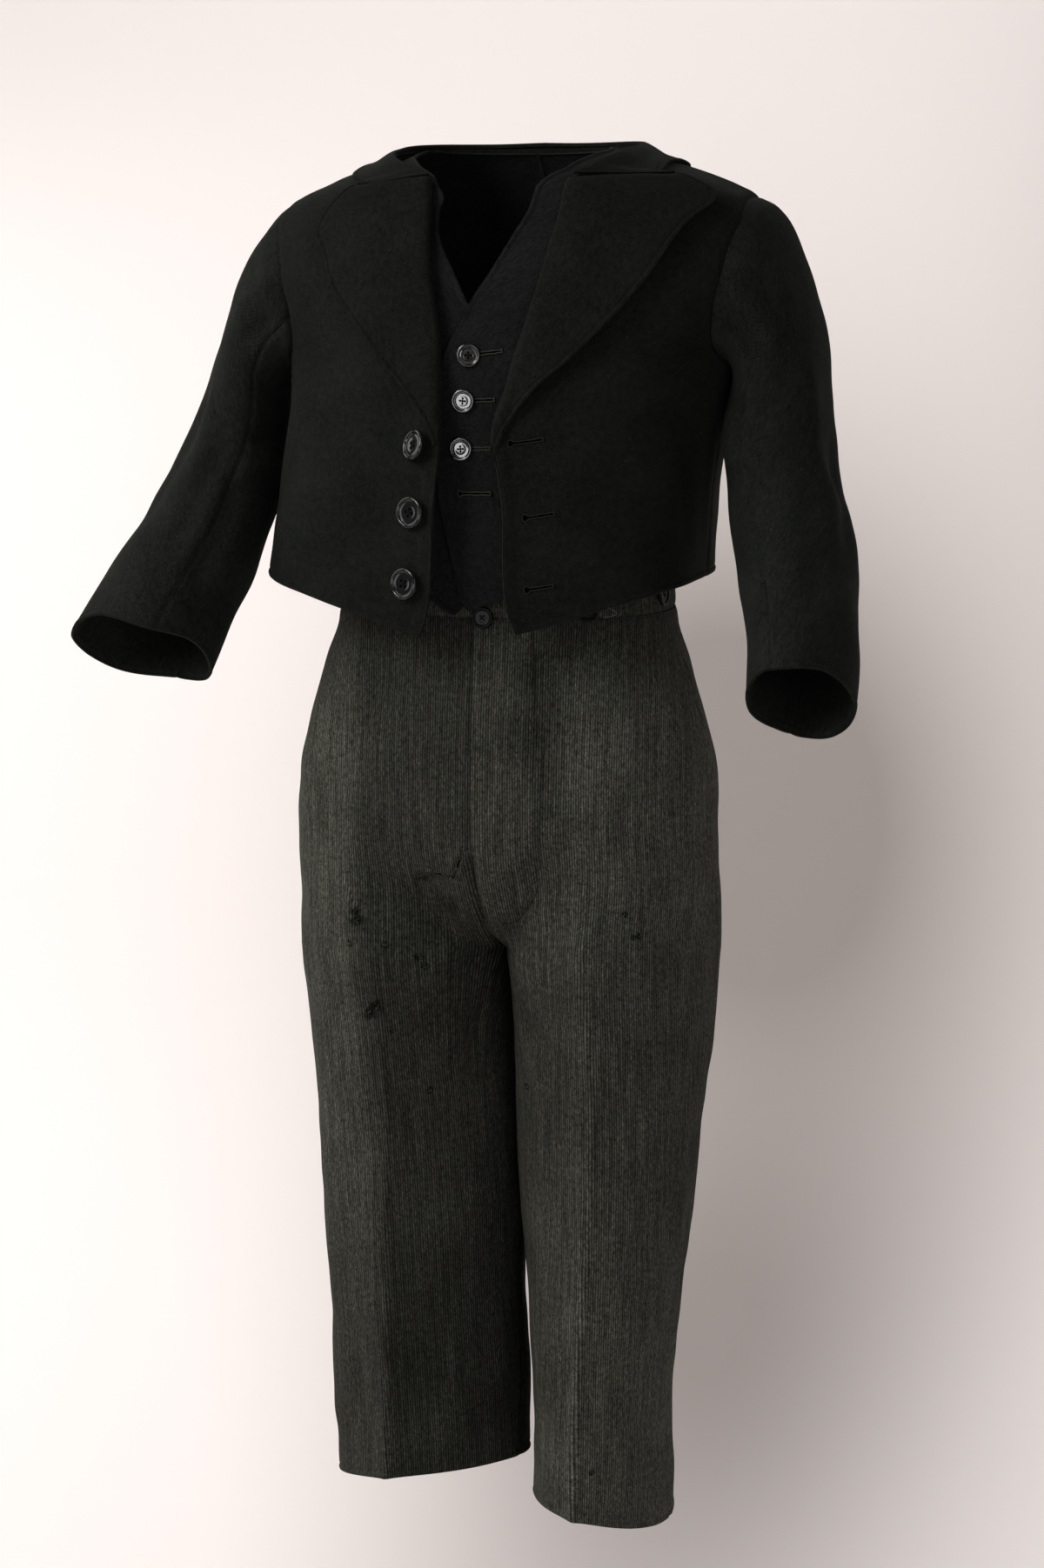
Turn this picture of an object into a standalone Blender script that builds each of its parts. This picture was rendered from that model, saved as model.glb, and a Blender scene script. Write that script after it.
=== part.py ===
"""Child's three-piece wool suit, worn and hollow: jacket, waistcoat and knee trousers.

Metres, +Z up, the front faces -Y and +X is the wearer's left. The origin is the
middle of the neck, where the wearer's shoulders carry the suit.

Every garment lies on a torso form: rings at given heights, where angle 0 is the
centre front, 90 the wearer's left side and 180 the centre back. A panel is a grid
of (angle, height) on its form, and a wall is that grid with a second one inside it.
Tables hold one ring, station or edge point a row. In tables of one side's panel,
angles count from the centre front towards that side.
"""
import math
import bpy
import bmesh
import numpy as np

MM = 0.001
JACKET_WALL = 2.0 * MM
VEST_WALL = 1.5 * MM
TROUSER_WALL = 1.5 * MM
SEAM_GAP = 0.3 * MM
ARM_GAP = 0.5 * MM              # more, where a sleeve turns down beside the body
LEFT, RIGHT = 1, -1             # the wearer's sides
ACROSS = 8                      # grid steps across a panel
RISE = 6                        # grid steps from a hem to the underarm
ARM_TURNS = np.array([0, 9, 22, 42, 65, 88, 112.5, 136, 158, 180])    # shoulder tip to underarm


def table(names, *rows):
    """Rows of numbers as named columns."""
    return {name: np.array(column, float) for name, column in zip(names.split(), zip(*rows))}


# ---------------------------------------------------------------- torso forms
SECTION = "height half_width front back centre_x centre_y square"
JACKET = table(
    SECTION,
    (-0.300, 0.1420, 0.098, 0.103, -0.010, -0.020, 2.6),
    (-0.250, 0.1405, 0.097, 0.101, -0.009, -0.019, 2.6),
    (-0.200, 0.1385, 0.098, 0.097, -0.006, -0.013, 2.6),
    (-0.150, 0.1395, 0.102, 0.088, -0.001, 0.000, 2.5),
    (-0.115, 0.1460, 0.107, 0.081, 0.002, 0.010, 2.3),
    (-0.085, 0.1630, 0.106, 0.075, 0.004, 0.014, 2.2),
    (-0.060, 0.1720, 0.102, 0.072, 0.004, 0.015, 2.2),
    (-0.036, 0.1680, 0.095, 0.068, 0.004, 0.016, 2.2),
    (-0.018, 0.1500, 0.088, 0.063, 0.004, 0.017, 2.3),
    (-0.010, 0.1350, 0.084, 0.060, 0.004, 0.017, 2.3),
    (-0.004, 0.1200, 0.080, 0.057, 0.004, 0.017, 2.3),
    (0.003, 0.1000, 0.075, 0.053, 0.004, 0.017, 2.2),
    (0.010, 0.0800, 0.069, 0.049, 0.003, 0.017, 2.1),
    (0.018, 0.0580, 0.061, 0.044, 0.002, 0.017, 2.0))
VEST = table(
    SECTION,
    (-0.2900, 0.1096, 0.0835, 0.0865, 0.000, -0.012, 2.3),
    (-0.2400, 0.1085, 0.0810, 0.0855, 0.000, -0.012, 2.3),
    (-0.2000, 0.1120, 0.0840, 0.0810, 0.000, -0.006, 2.3),
    (-0.1500, 0.1220, 0.0920, 0.0725, 0.000, 0.004, 2.3),
    (-0.1150, 0.1320, 0.0980, 0.0675, 0.002, 0.010, 2.3),
    (-0.0850, 0.1440, 0.0990, 0.0645, 0.004, 0.014, 2.2),
    (-0.0600, 0.1520, 0.0960, 0.0635, 0.004, 0.015, 2.2),
    (-0.0396, 0.1600, 0.0900, 0.0625, 0.004, 0.016, 2.2),
    (-0.0216, 0.1500, 0.0840, 0.0575, 0.004, 0.017, 2.3),
    (-0.0136, 0.1350, 0.0800, 0.0545, 0.004, 0.017, 2.3),
    (-0.0076, 0.1200, 0.0760, 0.0515, 0.004, 0.017, 2.3),
    (-0.0006, 0.1000, 0.0710, 0.0475, 0.004, 0.017, 2.2),
    (0.0064, 0.0800, 0.0650, 0.0435, 0.003, 0.017, 2.1),
    (0.0144, 0.0580, 0.0570, 0.0385, 0.002, 0.017, 2.0))
TROUSERS = table(
    SECTION,
    (-0.500, 0.1380, 0.088, 0.098, 0.000, -0.010, 2.3),
    (-0.430, 0.1360, 0.089, 0.100, 0.000, -0.012, 2.3),
    (-0.380, 0.1345, 0.088, 0.098, 0.000, -0.012, 2.3),
    (-0.340, 0.1265, 0.085, 0.094, 0.000, -0.012, 2.3),
    (-0.310, 0.1180, 0.082, 0.089, 0.000, -0.012, 2.3),
    (-0.272, 0.1070, 0.079, 0.084, 0.000, -0.012, 2.3),
    (-0.230, 0.1062, 0.078, 0.083, 0.000, -0.012, 2.3))

# The wearer's left shoulder is a little the higher: the rise for each metre sideways.
LEAN = {"rise": 0.018, "pivot_x": -0.100, "from_height": -0.250, "full_height": -0.050}

# Outlines of the fronts: the front edge, the roll line or V, then the neckline.
EDGE = "height angle"
JACKET_EDGE = {
    LEFT: table(EDGE, (-0.278, 12.5), (-0.265, 10.5), (-0.246, 9.5), (-0.209, 8.5),
                (-0.183, 6.5), (-0.165, 4.8), (-0.152, 4.5), (-0.118, 7.5), (-0.083, 10.0),
                (-0.050, 12.0), (-0.016, 16.0), (-0.006, 20.0), (0.002, 38.0), (0.008, 60.0),
                (0.011, 90.0)),
    RIGHT: table(EDGE, (-0.281, 3.5), (-0.268, 2.5), (-0.247, 2.0), (-0.210, 2.5),
                 (-0.174, 3.0), (-0.147, 4.5), (-0.119, 6.5), (-0.092, 8.5), (-0.056, 10.0),
                 (-0.040, 11.0), (-0.019, 12.0), (-0.004, 17.0), (0.002, 36.0), (0.008, 60.0),
                 (0.011, 90.0))}
VEST_EDGE = {
    LEFT: table(EDGE, (-0.267, -0.5), (-0.260, -2.5), (-0.240, -4.5), (-0.218, -7.0),
                (-0.195, -9.0), (-0.150, -9.0), (-0.111, -7.0), (-0.100, -5.5), (-0.082, -2.5),
                (-0.057, 2.0), (-0.030, 6.5), (-0.010, 10.5), (0.003, 28.0), (0.010, 52.0),
                (0.0144, 90.0)),
    RIGHT: table(EDGE, (-0.270, 4.5), (-0.262, 1.5), (-0.240, -1.5), (-0.200, -6.0),
                 (-0.150, -6.0), (-0.111, -4.0), (-0.098, -1.5), (-0.082, 2.5), (-0.059, 6.5),
                 (-0.044, 9.0), (-0.034, 10.0), (-0.018, 10.0), (-0.004, 18.0), (0.006, 42.0),
                 (0.0144, 90.0))}

# Hem heights round each garment, from the front edge to the centre back.
HEM = "angle height"
JACKET_HEM = {
    LEFT: table(HEM, (12.5, -0.278), (39, -0.262), (64, -0.253), (90, -0.249), (180, -0.245)),
    RIGHT: table(HEM, (3.5, -0.281), (22, -0.267), (45, -0.257), (90, -0.249), (180, -0.245))}
VEST_HEM = {
    LEFT: table(HEM, (-0.5, -0.267), (3, -0.263), (9, -0.259), (40, -0.253), (90, -0.247),
                (180, -0.244)),
    RIGHT: table(HEM, (4.5, -0.270), (8, -0.267), (11, -0.262), (40, -0.254), (90, -0.247),
                 (180, -0.244))}

# Armholes: the tip on the shoulder, the underarm, and how far they cut to front and back.
JACKET_ARMHOLE = {"tip": -0.018, "underarm": -0.120, "front_cut": 36, "back_cut": 34}
VEST_ARMHOLE = {"tip": 0.0002, "underarm": -0.135, "front_cut": 48, "back_cut": 42}
JACKET_NECK = 0.011             # the neck point, where the shoulder seam ends
JACKET_NECK_BACK = 0.007
VEST_NECK = 0.0144
VEST_NECK_BACK = 0.011
NECK_RADIUS = 0.08              # about the distance from the neck's middle to a neckline
VEST_LAP = 2.8 * MM             # how far the upper front stands off the lower one's form

# ---------------------------------------------------------------- sleeves and legs
STATION = "along outer_x outer_z inner_x inner_z y half_depth forward"
SLEEVE = {
    LEFT: table(STATION, (0.00, 0.1540, -0.018, 0.1485, -0.1210, 0.006, 0.051, 0),
                (0.08, 0.1723, -0.032, 0.1495, -0.1225, 0.006, 0.051, 0),
                (0.16, 0.1850, -0.058, 0.1490, -0.1270, 0.006, 0.050, 0),
                (0.25, 0.1940, -0.083, 0.1470, -0.1360, 0.005, 0.049, 0),
                (0.34, 0.2015, -0.108, 0.1450, -0.1500, 0.004, 0.048, 2),
                (0.44, 0.2060, -0.140, 0.1435, -0.1680, 0.000, 0.047, 6),
                (0.54, 0.2120, -0.180, 0.1450, -0.1900, -0.010, 0.046, 14),
                (0.66, 0.2245, -0.210, 0.1500, -0.2220, -0.030, 0.044, 28),
                (0.78, 0.2335, -0.243, 0.1610, -0.2520, -0.056, 0.042, 36),
                (0.89, 0.2400, -0.277, 0.1710, -0.2830, -0.084, 0.041, 41),
                (1.00, 0.2440, -0.314, 0.1790, -0.3150, -0.112, 0.039, 43)),
    RIGHT: table(STATION, (0.00, 0.1460, -0.018, 0.1445, -0.1210, 0.006, 0.051, 0),
                 (0.08, 0.1625, -0.036, 0.1465, -0.1225, 0.006, 0.051, 0),
                 (0.16, 0.1770, -0.062, 0.1475, -0.1270, 0.006, 0.050, 0),
                 (0.25, 0.1855, -0.083, 0.1475, -0.1370, 0.006, 0.049, 0),
                 (0.35, 0.1935, -0.107, 0.1480, -0.1520, 0.005, 0.047, 2),
                 (0.45, 0.2000, -0.134, 0.1490, -0.1700, 0.001, 0.045, 6),
                 (0.56, 0.2085, -0.162, 0.1500, -0.1920, -0.010, 0.043, 14),
                 (0.68, 0.2190, -0.190, 0.1510, -0.2140, -0.028, 0.042, 22),
                 (0.80, 0.2310, -0.222, 0.1530, -0.2440, -0.052, 0.041, 29),
                 (0.90, 0.2460, -0.254, 0.1600, -0.2710, -0.075, 0.041, 32),
                 (1.00, 0.2610, -0.289, 0.1710, -0.3040, -0.098, 0.041, 35))}
SLEEVE_SEAMS = (112.5, 247.5)   # front and back seam, degrees from the shoulder tip
SEAM_TILT = 0.0
CAP = 0.30                      # the armhole's own shape has faded out this far along

LEG = "height inner half_width half_depth turn"
LEGS = {
    LEFT: table(LEG, (-0.860, 0.0200, 0.0425, 0.078, 0), (-0.790, 0.0190, 0.0440, 0.077, 1),
                (-0.730, 0.0150, 0.0490, 0.074, 2), (-0.670, 0.0105, 0.0550, 0.071, 4),
                (-0.610, 0.0070, 0.0600, 0.071, 5), (-0.550, 0.0045, 0.0650, 0.077, 3),
                (-0.492, 0.0000, 0.0690, 0.086, 0)),
    RIGHT: table(LEG, (-0.860, 0.0125, 0.0670, 0.058, -17), (-0.790, 0.0125, 0.0670, 0.058, -13),
                 (-0.730, 0.0095, 0.0665, 0.059, -9), (-0.670, 0.0050, 0.0660, 0.060, -4),
                 (-0.610, 0.0015, 0.0655, 0.063, 0), (-0.550, 0.0000, 0.0665, 0.072, 2),
                 (-0.492, 0.0000, 0.0685, 0.085, 0))}
LEG_HEM = {LEFT: {"mean": -0.8560, "outer": -0.006, "front": 0.003},
           RIGHT: {"mean": -0.8405, "outer": -0.012, "front": 0.002}}
LEG_CENTRE_Y = -0.004
PRESS = {"height": 4.0 * MM, "width": 9.0}      # the pressed crease, degrees wide
WAIST_TOP, WAIST_SEAM = -0.230, -0.272
RISE_TOP, CROTCH = -0.400, -0.492               # the centre seam curves between these
FORK_REACH = 0.35                               # the share of a panel that its curve affects

# ---------------------------------------------------------------- lapels, collar, buttons
LAPEL_ROW = "along roll_angle roll_height edge_angle edge_height lift"
LAPEL = {
    LEFT: table(LAPEL_ROW, (0.00, 4.5, -0.1520, 5.5, -0.1570, 3.0), (0.14, 6.3, -0.132, 12.5, -0.1325, 5.5),
                (0.29, 8.1, -0.110, 21.0, -0.1130, 7.0), (0.46, 10.0, -0.083, 28.5, -0.0855, 8.0),
                (0.63, 11.8, -0.056, 35.0, -0.0600, 8.0), (0.78, 13.8, -0.034, 43.5, -0.0350, 6.5),
                (0.92, 16.0, -0.016, 59.5, -0.0170, 4.5), (1.00, 20.0, -0.0065, 57.0, -0.0075, 4.5)),
    RIGHT: table(LAPEL_ROW, (0.00, 4.5, -0.1480, 5.7, -0.1575, 3.0), (0.14, 6.0, -0.128, 14.0, -0.1300, 4.0),
                 (0.28, 7.4, -0.109, 22.0, -0.1110, 4.5), (0.44, 8.7, -0.086, 28.5, -0.0880, 4.5),
                 (0.59, 9.7, -0.064, 32.5, -0.0700, 4.5), (0.74, 11.0, -0.040, 35.5, -0.0510, 4.5),
                 (0.88, 12.0, -0.020, 40.0, -0.0340, 4.0), (1.00, 17.0, -0.0045, 38.5, -0.0115, 4.5))}
LAPEL_WALL = 2.0 * MM
LAPEL_CLEAR = 2.6 * MM          # lapel surface over the front, at the roll

COLLAR_ROW = "round stand edge_angle edge_height"
COLLAR = {
    LEFT: table(COLLAR_ROW, (0.00, 5.0, 57, -0.0058), (0.20, 6.5, 68, -0.0015),
                (0.45, 11.0, 90, 0.0030), (0.75, 18.0, 135, -0.0040), (1.00, 21.0, 180, -0.0100)),
    RIGHT: table(COLLAR_ROW, (0.00, 5.0, 38, -0.0095), (0.20, 6.5, 58, -0.0045),
                 (0.45, 11.0, 90, 0.0030), (0.75, 18.0, 135, -0.0040), (1.00, 21.0, 180, -0.0100))}
COLLAR_EDGE_LIFT = 5.5 * MM
COLLAR_UPRIGHT = 0.75
COLLAR_WALL = 2.0 * MM

JACKET_BUTTON = {"radius": 10.0 * MM, "depth": 3.2 * MM}
VEST_BUTTON = {"radius": 7.5 * MM, "depth": 2.6 * MM}
BRACE_BUTTON = {"radius": 7.0 * MM, "depth": 2.4 * MM}
BUTTON_PLACE = "angle height"
JACKET_BUTTONS = table(BUTTON_PLACE, (-7.5, -0.166), (-6.5, -0.206), (-6.5, -0.249))
VEST_BUTTONS = table(BUTTON_PLACE, (-1.5, -0.111), (-2.0, -0.1385), (-2.5, -0.168))
WAIST_BUTTON = (2.5, -0.2755)
BRACE_BUTTONS = table(BUTTON_PLACE, (37, -0.267), (79, -0.2605), (-37, -0.267), (-79, -0.2605),
                      (168, -0.2605), (-168, -0.2605))

# colour, roughness
FINISH = {
    "jacket": ((0.012, 0.012, 0.013), 0.92),
    "vest": ((0.014, 0.013, 0.014), 0.92),
    "trouser": ((0.040, 0.036, 0.033), 0.88),
    "horn": ((0.010, 0.009, 0.009), 0.22)}


# ---------------------------------------------------------------- curves and surfaces
def curve(rows, name, at):
    """One column of a table, read smoothly at places along its first column."""
    key = next(iter(rows))
    x, y = rows[key], rows[name]
    step = np.diff(y) / np.diff(x)
    slope = np.empty_like(y)
    slope[0], slope[-1] = step[0], step[-1]
    both = step[:-1] * step[1:]
    total = np.where(both > 0, step[:-1] + step[1:], 1.0)
    slope[1:-1] = np.where(both > 0, 2 * both / total, 0.0)
    at = np.clip(at, x[0], x[-1])
    i = np.clip(np.searchsorted(x, at, side="right") - 1, 0, len(x) - 2)
    gap = x[i + 1] - x[i]
    t = (at - x[i]) / gap
    return ((2 * t**3 - 3 * t**2 + 1) * y[i] + (t**3 - 2 * t**2 + t) * gap * slope[i]
            + (3 * t**2 - 2 * t**3) * y[i + 1] + (t**3 - t**2) * gap * slope[i + 1])


def smooth(t):
    """0 to 1 with soft ends."""
    t = np.clip(t, 0.0, 1.0)
    return t * t * (3 - 2 * t)


def unit(vectors):
    return vectors / np.maximum(np.linalg.norm(vectors, axis=-1, keepdims=True), 1e-12)


def leaned(points):
    """Points with the shoulders' slight lean, which fades out above the waist."""
    reach = LEAN["full_height"] - LEAN["from_height"]
    share = smooth((points[..., 2] - LEAN["from_height"]) / reach)
    rise = LEAN["rise"] * (points[..., 0] - LEAN["pivot_x"]) * share
    return np.stack([points[..., 0], points[..., 1], points[..., 2] + rise], -1)


def torso(form, angle, height):
    """Points on a garment's form."""
    s, c = np.sin(np.radians(angle)), np.cos(np.radians(angle))
    bend = 2 / curve(form, "square", height)
    depth = np.where(c > 0, curve(form, "front", height), curve(form, "back", height))
    half = curve(form, "half_width", height)
    x = curve(form, "centre_x", height) + half * np.sign(s) * np.abs(s) ** bend
    y = curve(form, "centre_y", height) - depth * np.sign(c) * np.abs(c) ** bend
    return leaned(np.stack(np.broadcast_arrays(x, y, height), -1))


def facing(surface, a, b, step_a, step_b):
    """Unit normals of a surface, along its first direction crossed with its second."""
    across = surface(a + step_a, b) - surface(a - step_a, b)
    up = surface(a, b + step_b) - surface(a, b - step_b)
    return unit(np.cross(across, up))


def torso_facing(form, angle, height):
    return facing(lambda a, h: torso(form, a, h), angle, height, 0.5, 0.5 * MM)


def armhole(cut, turn):
    """Angle and height on an armhole: turn is 0 at the shoulder tip, 90 in front, 180 below."""
    middle = (cut["tip"] + cut["underarm"]) / 2
    reach = (cut["tip"] - cut["underarm"]) / 2
    s = np.sin(np.radians(turn))
    dip = np.where(s > 0, cut["front_cut"], -cut["back_cut"])
    return 90 - dip * np.abs(s) ** 0.8, middle + reach * np.cos(np.radians(turn))


def shoulder_height(form, half_width):
    """The height at which a form has narrowed to a half width, on its shoulder slope."""
    heights = np.linspace(-0.030, form["height"][-1], 200)
    return np.interp(-half_width, -curve(form, "half_width", heights), heights)


# ---------------------------------------------------------------- panels
def coons(bottom, top, left, right, u, v):
    """A patch between four edges, each a function giving (angle, height)."""
    u, v = u[:, None, None], v[None, :, None]
    b, t = bottom(u[..., 0]), top(u[..., 0])
    l, r = left(v[..., 0]), right(v[..., 0])
    ends = ((1 - u) * (1 - v) * b[:1] + u * (1 - v) * b[-1:]
            + (1 - u) * v * t[:1] + u * v * t[-1:])
    return (1 - v) * b + v * t + (1 - u) * l + u * r - ends


def pair(angle, height):
    return np.stack(np.broadcast_arrays(angle, height), -1)


def body_panel(form, cut, inner, hem, neck, across=ACROSS, rise=RISE, arm_turns=ARM_TURNS):
    """(angle, height) grid of a front or half back: inner edge to side seam, hem to shoulder.

    inner gives (angle, height) up the centre and round the neckline to the neck point.
    """
    start = inner(np.float64(0.0))
    front = start[..., 0] < 90
    arm = 1 - arm_turns[::-1] / 360
    v = np.concatenate([np.linspace(0, 0.5, rise + 1), arm[1:]])
    u = np.linspace(0, 1, across + 1)

    def right(v):
        turn = np.where(v > 0.5, 360 - 360 * v, 180.0)
        arm = pair(*armhole(cut, turn if front else -turn))
        side = pair(90.0, hem(90.0) + (cut["underarm"] - hem(90.0)) * np.clip(2 * v, 0, 1))
        return np.where((v > 0.5)[..., None], arm, side)

    def bottom(u):
        angle = start[..., 0] + (90 - start[..., 0]) * u
        return pair(angle, hem(angle))

    def top(u):
        wide, tip = curve(form, "half_width", neck), curve(form, "half_width", cut["tip"])
        return pair(90.0, shoulder_height(form, wide + (tip - wide) * u))

    return coons(bottom, top, inner, right, u, v)


def even_run(angles, heights):
    """How far along a line of (angle, height) each point is, from 0 to 1."""
    steps = np.hypot(np.diff(heights), np.radians(np.diff(angles)) * NECK_RADIUS)
    return np.concatenate([[0], np.cumsum(steps)]) / steps.sum()


def front_edge(rows, break_height):
    """Up a front's inner edge: v 0 to 0.5 below the break, then even steps to the neck point."""
    low = rows["height"][0]
    heights = np.linspace(break_height, rows["height"][-1], 400)
    run = even_run(curve(rows, "angle", heights), heights)

    def at(v):
        above = np.interp(2 * v - 1, run, heights)
        height = np.where(v < 0.5, low + (break_height - low) * 2 * v, above)
        return pair(curve(rows, "angle", height), height)
    return at


def neck_behind(angle, neck, back):
    """Height of the back neckline."""
    return neck + (back - neck) * smooth((angle - 90) / 90)


def back_edge(hem_height, middle, neck, back):
    """Up the centre back, v 0 to 0.5 below the middle, then on round the neckline."""
    turns = np.linspace(180, 90, 61)
    rise = np.linspace(middle, back, 60)
    angles = np.concatenate([np.full(60, 180.0), turns])
    heights = np.concatenate([rise, neck_behind(turns, neck, back)])
    run = even_run(angles, heights)

    def at(v):
        above = pair(np.interp(2 * v - 1, run, angles), np.interp(2 * v - 1, run, heights))
        below = pair(180.0, hem_height + (middle - hem_height) * 2 * v)
        return np.where((v < 0.5)[..., None], below, above)
    return at


# ---------------------------------------------------------------- solids
def shrink(grid, gap):
    """Pull a grid's four edges in by half a seam gap."""
    grid = grid.copy()
    for axis in (0, 1):
        g = np.moveaxis(grid, axis, 0)
        g[0] += gap / 2 * unit(g[1] - g[0])
        g[-1] += gap / 2 * unit(g[-2] - g[-1])
    return grid


def material(name, finish):
    colour, roughness = FINISH[finish]
    made = bpy.data.materials.new(name)
    made.use_nodes = True
    shader = made.node_tree.nodes["Principled BSDF"]
    shader.inputs["Base Color"].default_value = (*colour, 1)
    shader.inputs["Roughness"].default_value = roughness
    shader.inputs["Metallic"].default_value = 0.0
    return made


def solid(name, vertices, faces, finish):
    """One closed solid as an object with its own material."""
    mesh = bpy.data.meshes.new(name)
    mesh.from_pydata([tuple(v) for v in vertices], [], faces)
    work = bmesh.new()
    work.from_mesh(mesh)
    bmesh.ops.recalc_face_normals(work, faces=work.faces)
    work.to_mesh(mesh)
    work.free()
    mesh.materials.append(material(name + "_finish", finish))
    made = bpy.data.objects.new(name, mesh)
    bpy.context.scene.collection.objects.link(made)
    for polygon in mesh.polygons:
        polygon.use_smooth = True
    return made


def wall(name, grid, normals, thickness, finish, last_rows=0):
    """A cloth wall: the grid is its outer face, and its edges keep off the seams.

    last_rows of its last column lie on an armhole and keep further off.
    """
    outer = shrink(grid, SEAM_GAP)
    if last_rows:
        outer[-1, -last_rows:] += ARM_GAP * unit(outer[-2, -last_rows:] - outer[-1, -last_rows:])
    inner = outer - thickness * normals
    rows, columns = outer.shape[:2]
    count = rows * columns
    cell = np.arange(count).reshape(rows, columns)
    faces = []
    for i in range(rows - 1):
        for j in range(columns - 1):
            quad = [cell[i, j], cell[i + 1, j], cell[i + 1, j + 1], cell[i, j + 1]]
            faces.append([int(k) for k in quad])
            faces.append([int(k) + count for k in reversed(quad)])
    rim = list(cell[:, 0]) + list(cell[-1, 1:]) + list(cell[-2::-1, -1]) + list(cell[0, -2:0:-1])
    for a, b in zip(rim, rim[1:] + rim[:1]):
        faces.append([int(a), int(b), int(b) + count, int(a) + count])
    return solid(name, np.concatenate([outer.reshape(-1, 3), inner.reshape(-1, 3)]), faces, finish)


# ---------------------------------------------------------------- jacket and vest bodies
def overlap_lift(angle):
    """The waistcoat's left front rides over the right one near the centre."""
    return VEST_LAP * (1 - smooth((angle - 14) / 14))


def body_wall(name, form, side, grid, thickness, finish, lift=0.0):
    angle, height = side * grid[..., 0], grid[..., 1]
    normals = torso_facing(form, angle, height)
    points = torso(form, angle, height) + np.asarray(lift)[..., None] * normals
    wall(name, points, normals, thickness, finish, len(ARM_TURNS))


def jacket_body():
    for side, word in ((LEFT, "left"), (RIGHT, "right")):
        def hem(angle):
            return curve(JACKET_HEM[side], "height", angle)
        edge = front_edge(JACKET_EDGE[side], -0.155)
        grid = body_panel(JACKET, JACKET_ARMHOLE, edge, hem, JACKET_NECK)
        body_wall("jacket_front_" + word, JACKET, side, grid, JACKET_WALL, "jacket")
        edge = back_edge(hem(180.0), -0.150, JACKET_NECK, JACKET_NECK_BACK)
        grid = body_panel(JACKET, JACKET_ARMHOLE, edge, hem, JACKET_NECK)
        body_wall("jacket_back_" + word, JACKET, side, grid, JACKET_WALL, "jacket")


def vest_body():
    for side, word in ((LEFT, "left"), (RIGHT, "right")):
        def hem(angle):
            return curve(VEST_HEM[side], "height", angle)
        grid = body_panel(VEST, VEST_ARMHOLE, front_edge(VEST_EDGE[side], -0.165), hem, VEST_NECK)
        lift = overlap_lift(grid[..., 0]) if side == LEFT else 0 * grid[..., 0]
        body_wall("vest_front_" + word, VEST, side, grid, VEST_WALL, "vest", lift)
        edge = back_edge(hem(180.0), -0.160, VEST_NECK, VEST_NECK_BACK)
        grid = body_panel(VEST, VEST_ARMHOLE, edge, hem, VEST_NECK)
        body_wall("vest_back_" + word, VEST, side, grid, VEST_WALL, "vest")


# ---------------------------------------------------------------- sleeves
def sleeve_ring(side, turn, along):
    """Points on the plain sleeve tube: turn 0 is its outer line, 90 its front."""
    rows = SLEEVE[side]

    def place(name):
        return curve(rows, name, along)
    zero = np.zeros_like(along)
    outer = np.stack([side * place("outer_x"), zero, place("outer_z")], -1)
    inner = np.stack([side * place("inner_x"), zero, place("inner_z")], -1)
    across = (outer - inner) / 2
    lean = np.radians(place("forward"))[..., None]
    down = unit(np.cross([0.0, float(side), 0.0], across))
    front = np.array([0.0, -1.0, 0.0]) * np.cos(lean) - down * np.sin(lean)
    centre = (outer + inner) / 2 + place("y")[..., None] * np.array([0.0, 1.0, 0.0])
    angle = np.radians(turn)[..., None]
    return leaned(centre + across * np.cos(angle) + place("half_depth")[..., None] * np.sin(angle) * front)


def sleeve(side, turn, along):
    """Points on the sleeve, which starts on the armhole."""
    turn, along = np.broadcast_arrays(turn, along)
    angle, height = armhole(JACKET_ARMHOLE, turn)
    loop = torso(JACKET, side * angle, height)
    start = sleeve_ring(side, turn, 0 * along)
    fade = (1 - smooth(along / CAP))[..., None]
    return sleeve_ring(side, turn, along) + (loop - start) * fade


def sleeves():
    steps = np.concatenate([np.linspace(0, 0.24, 4), np.linspace(0.24, 1, 8)[1:]])
    front_seam, back_seam = SLEEVE_SEAMS
    around = np.concatenate([-ARM_TURNS[:0:-1], ARM_TURNS])
    below = np.concatenate([ARM_TURNS, 360 - ARM_TURNS[-2::-1]])
    parts = {"top_sleeve": around[(around >= back_seam - 360) & (around <= front_seam)],
             "under_sleeve": below[(below >= front_seam) & (below <= back_seam)]}
    for side, word in ((LEFT, "left"), (RIGHT, "right")):
        def surface(a, t):
            return sleeve(side, a, t)
        for part, turns in parts.items():
            turn, along = np.meshgrid(turns % 360, steps, indexing="ij")
            normals = side * facing(surface, turn, np.clip(along, 0.01, 0.99), 0.5, 0.005)
            grid = surface(turn, along)
            middle = sleeve_ring(side, around, 0 * around).mean(axis=0)
            flat = grid[:, 0] - middle
            flat[:, 0] = 0
            angle, height = armhole(JACKET_ARMHOLE, turns % 360)
            normals[:, 0] = unit(unit(flat) + SEAM_TILT * torso_facing(JACKET, side * angle, height))
            if (normals[:, 5] * (grid[:, 5] - grid[:, 5].mean(axis=0))).sum() < 0:
                normals[:, 1:] *= -1
            wall(part + "_" + word, grid, normals, JACKET_WALL, "jacket")


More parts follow.
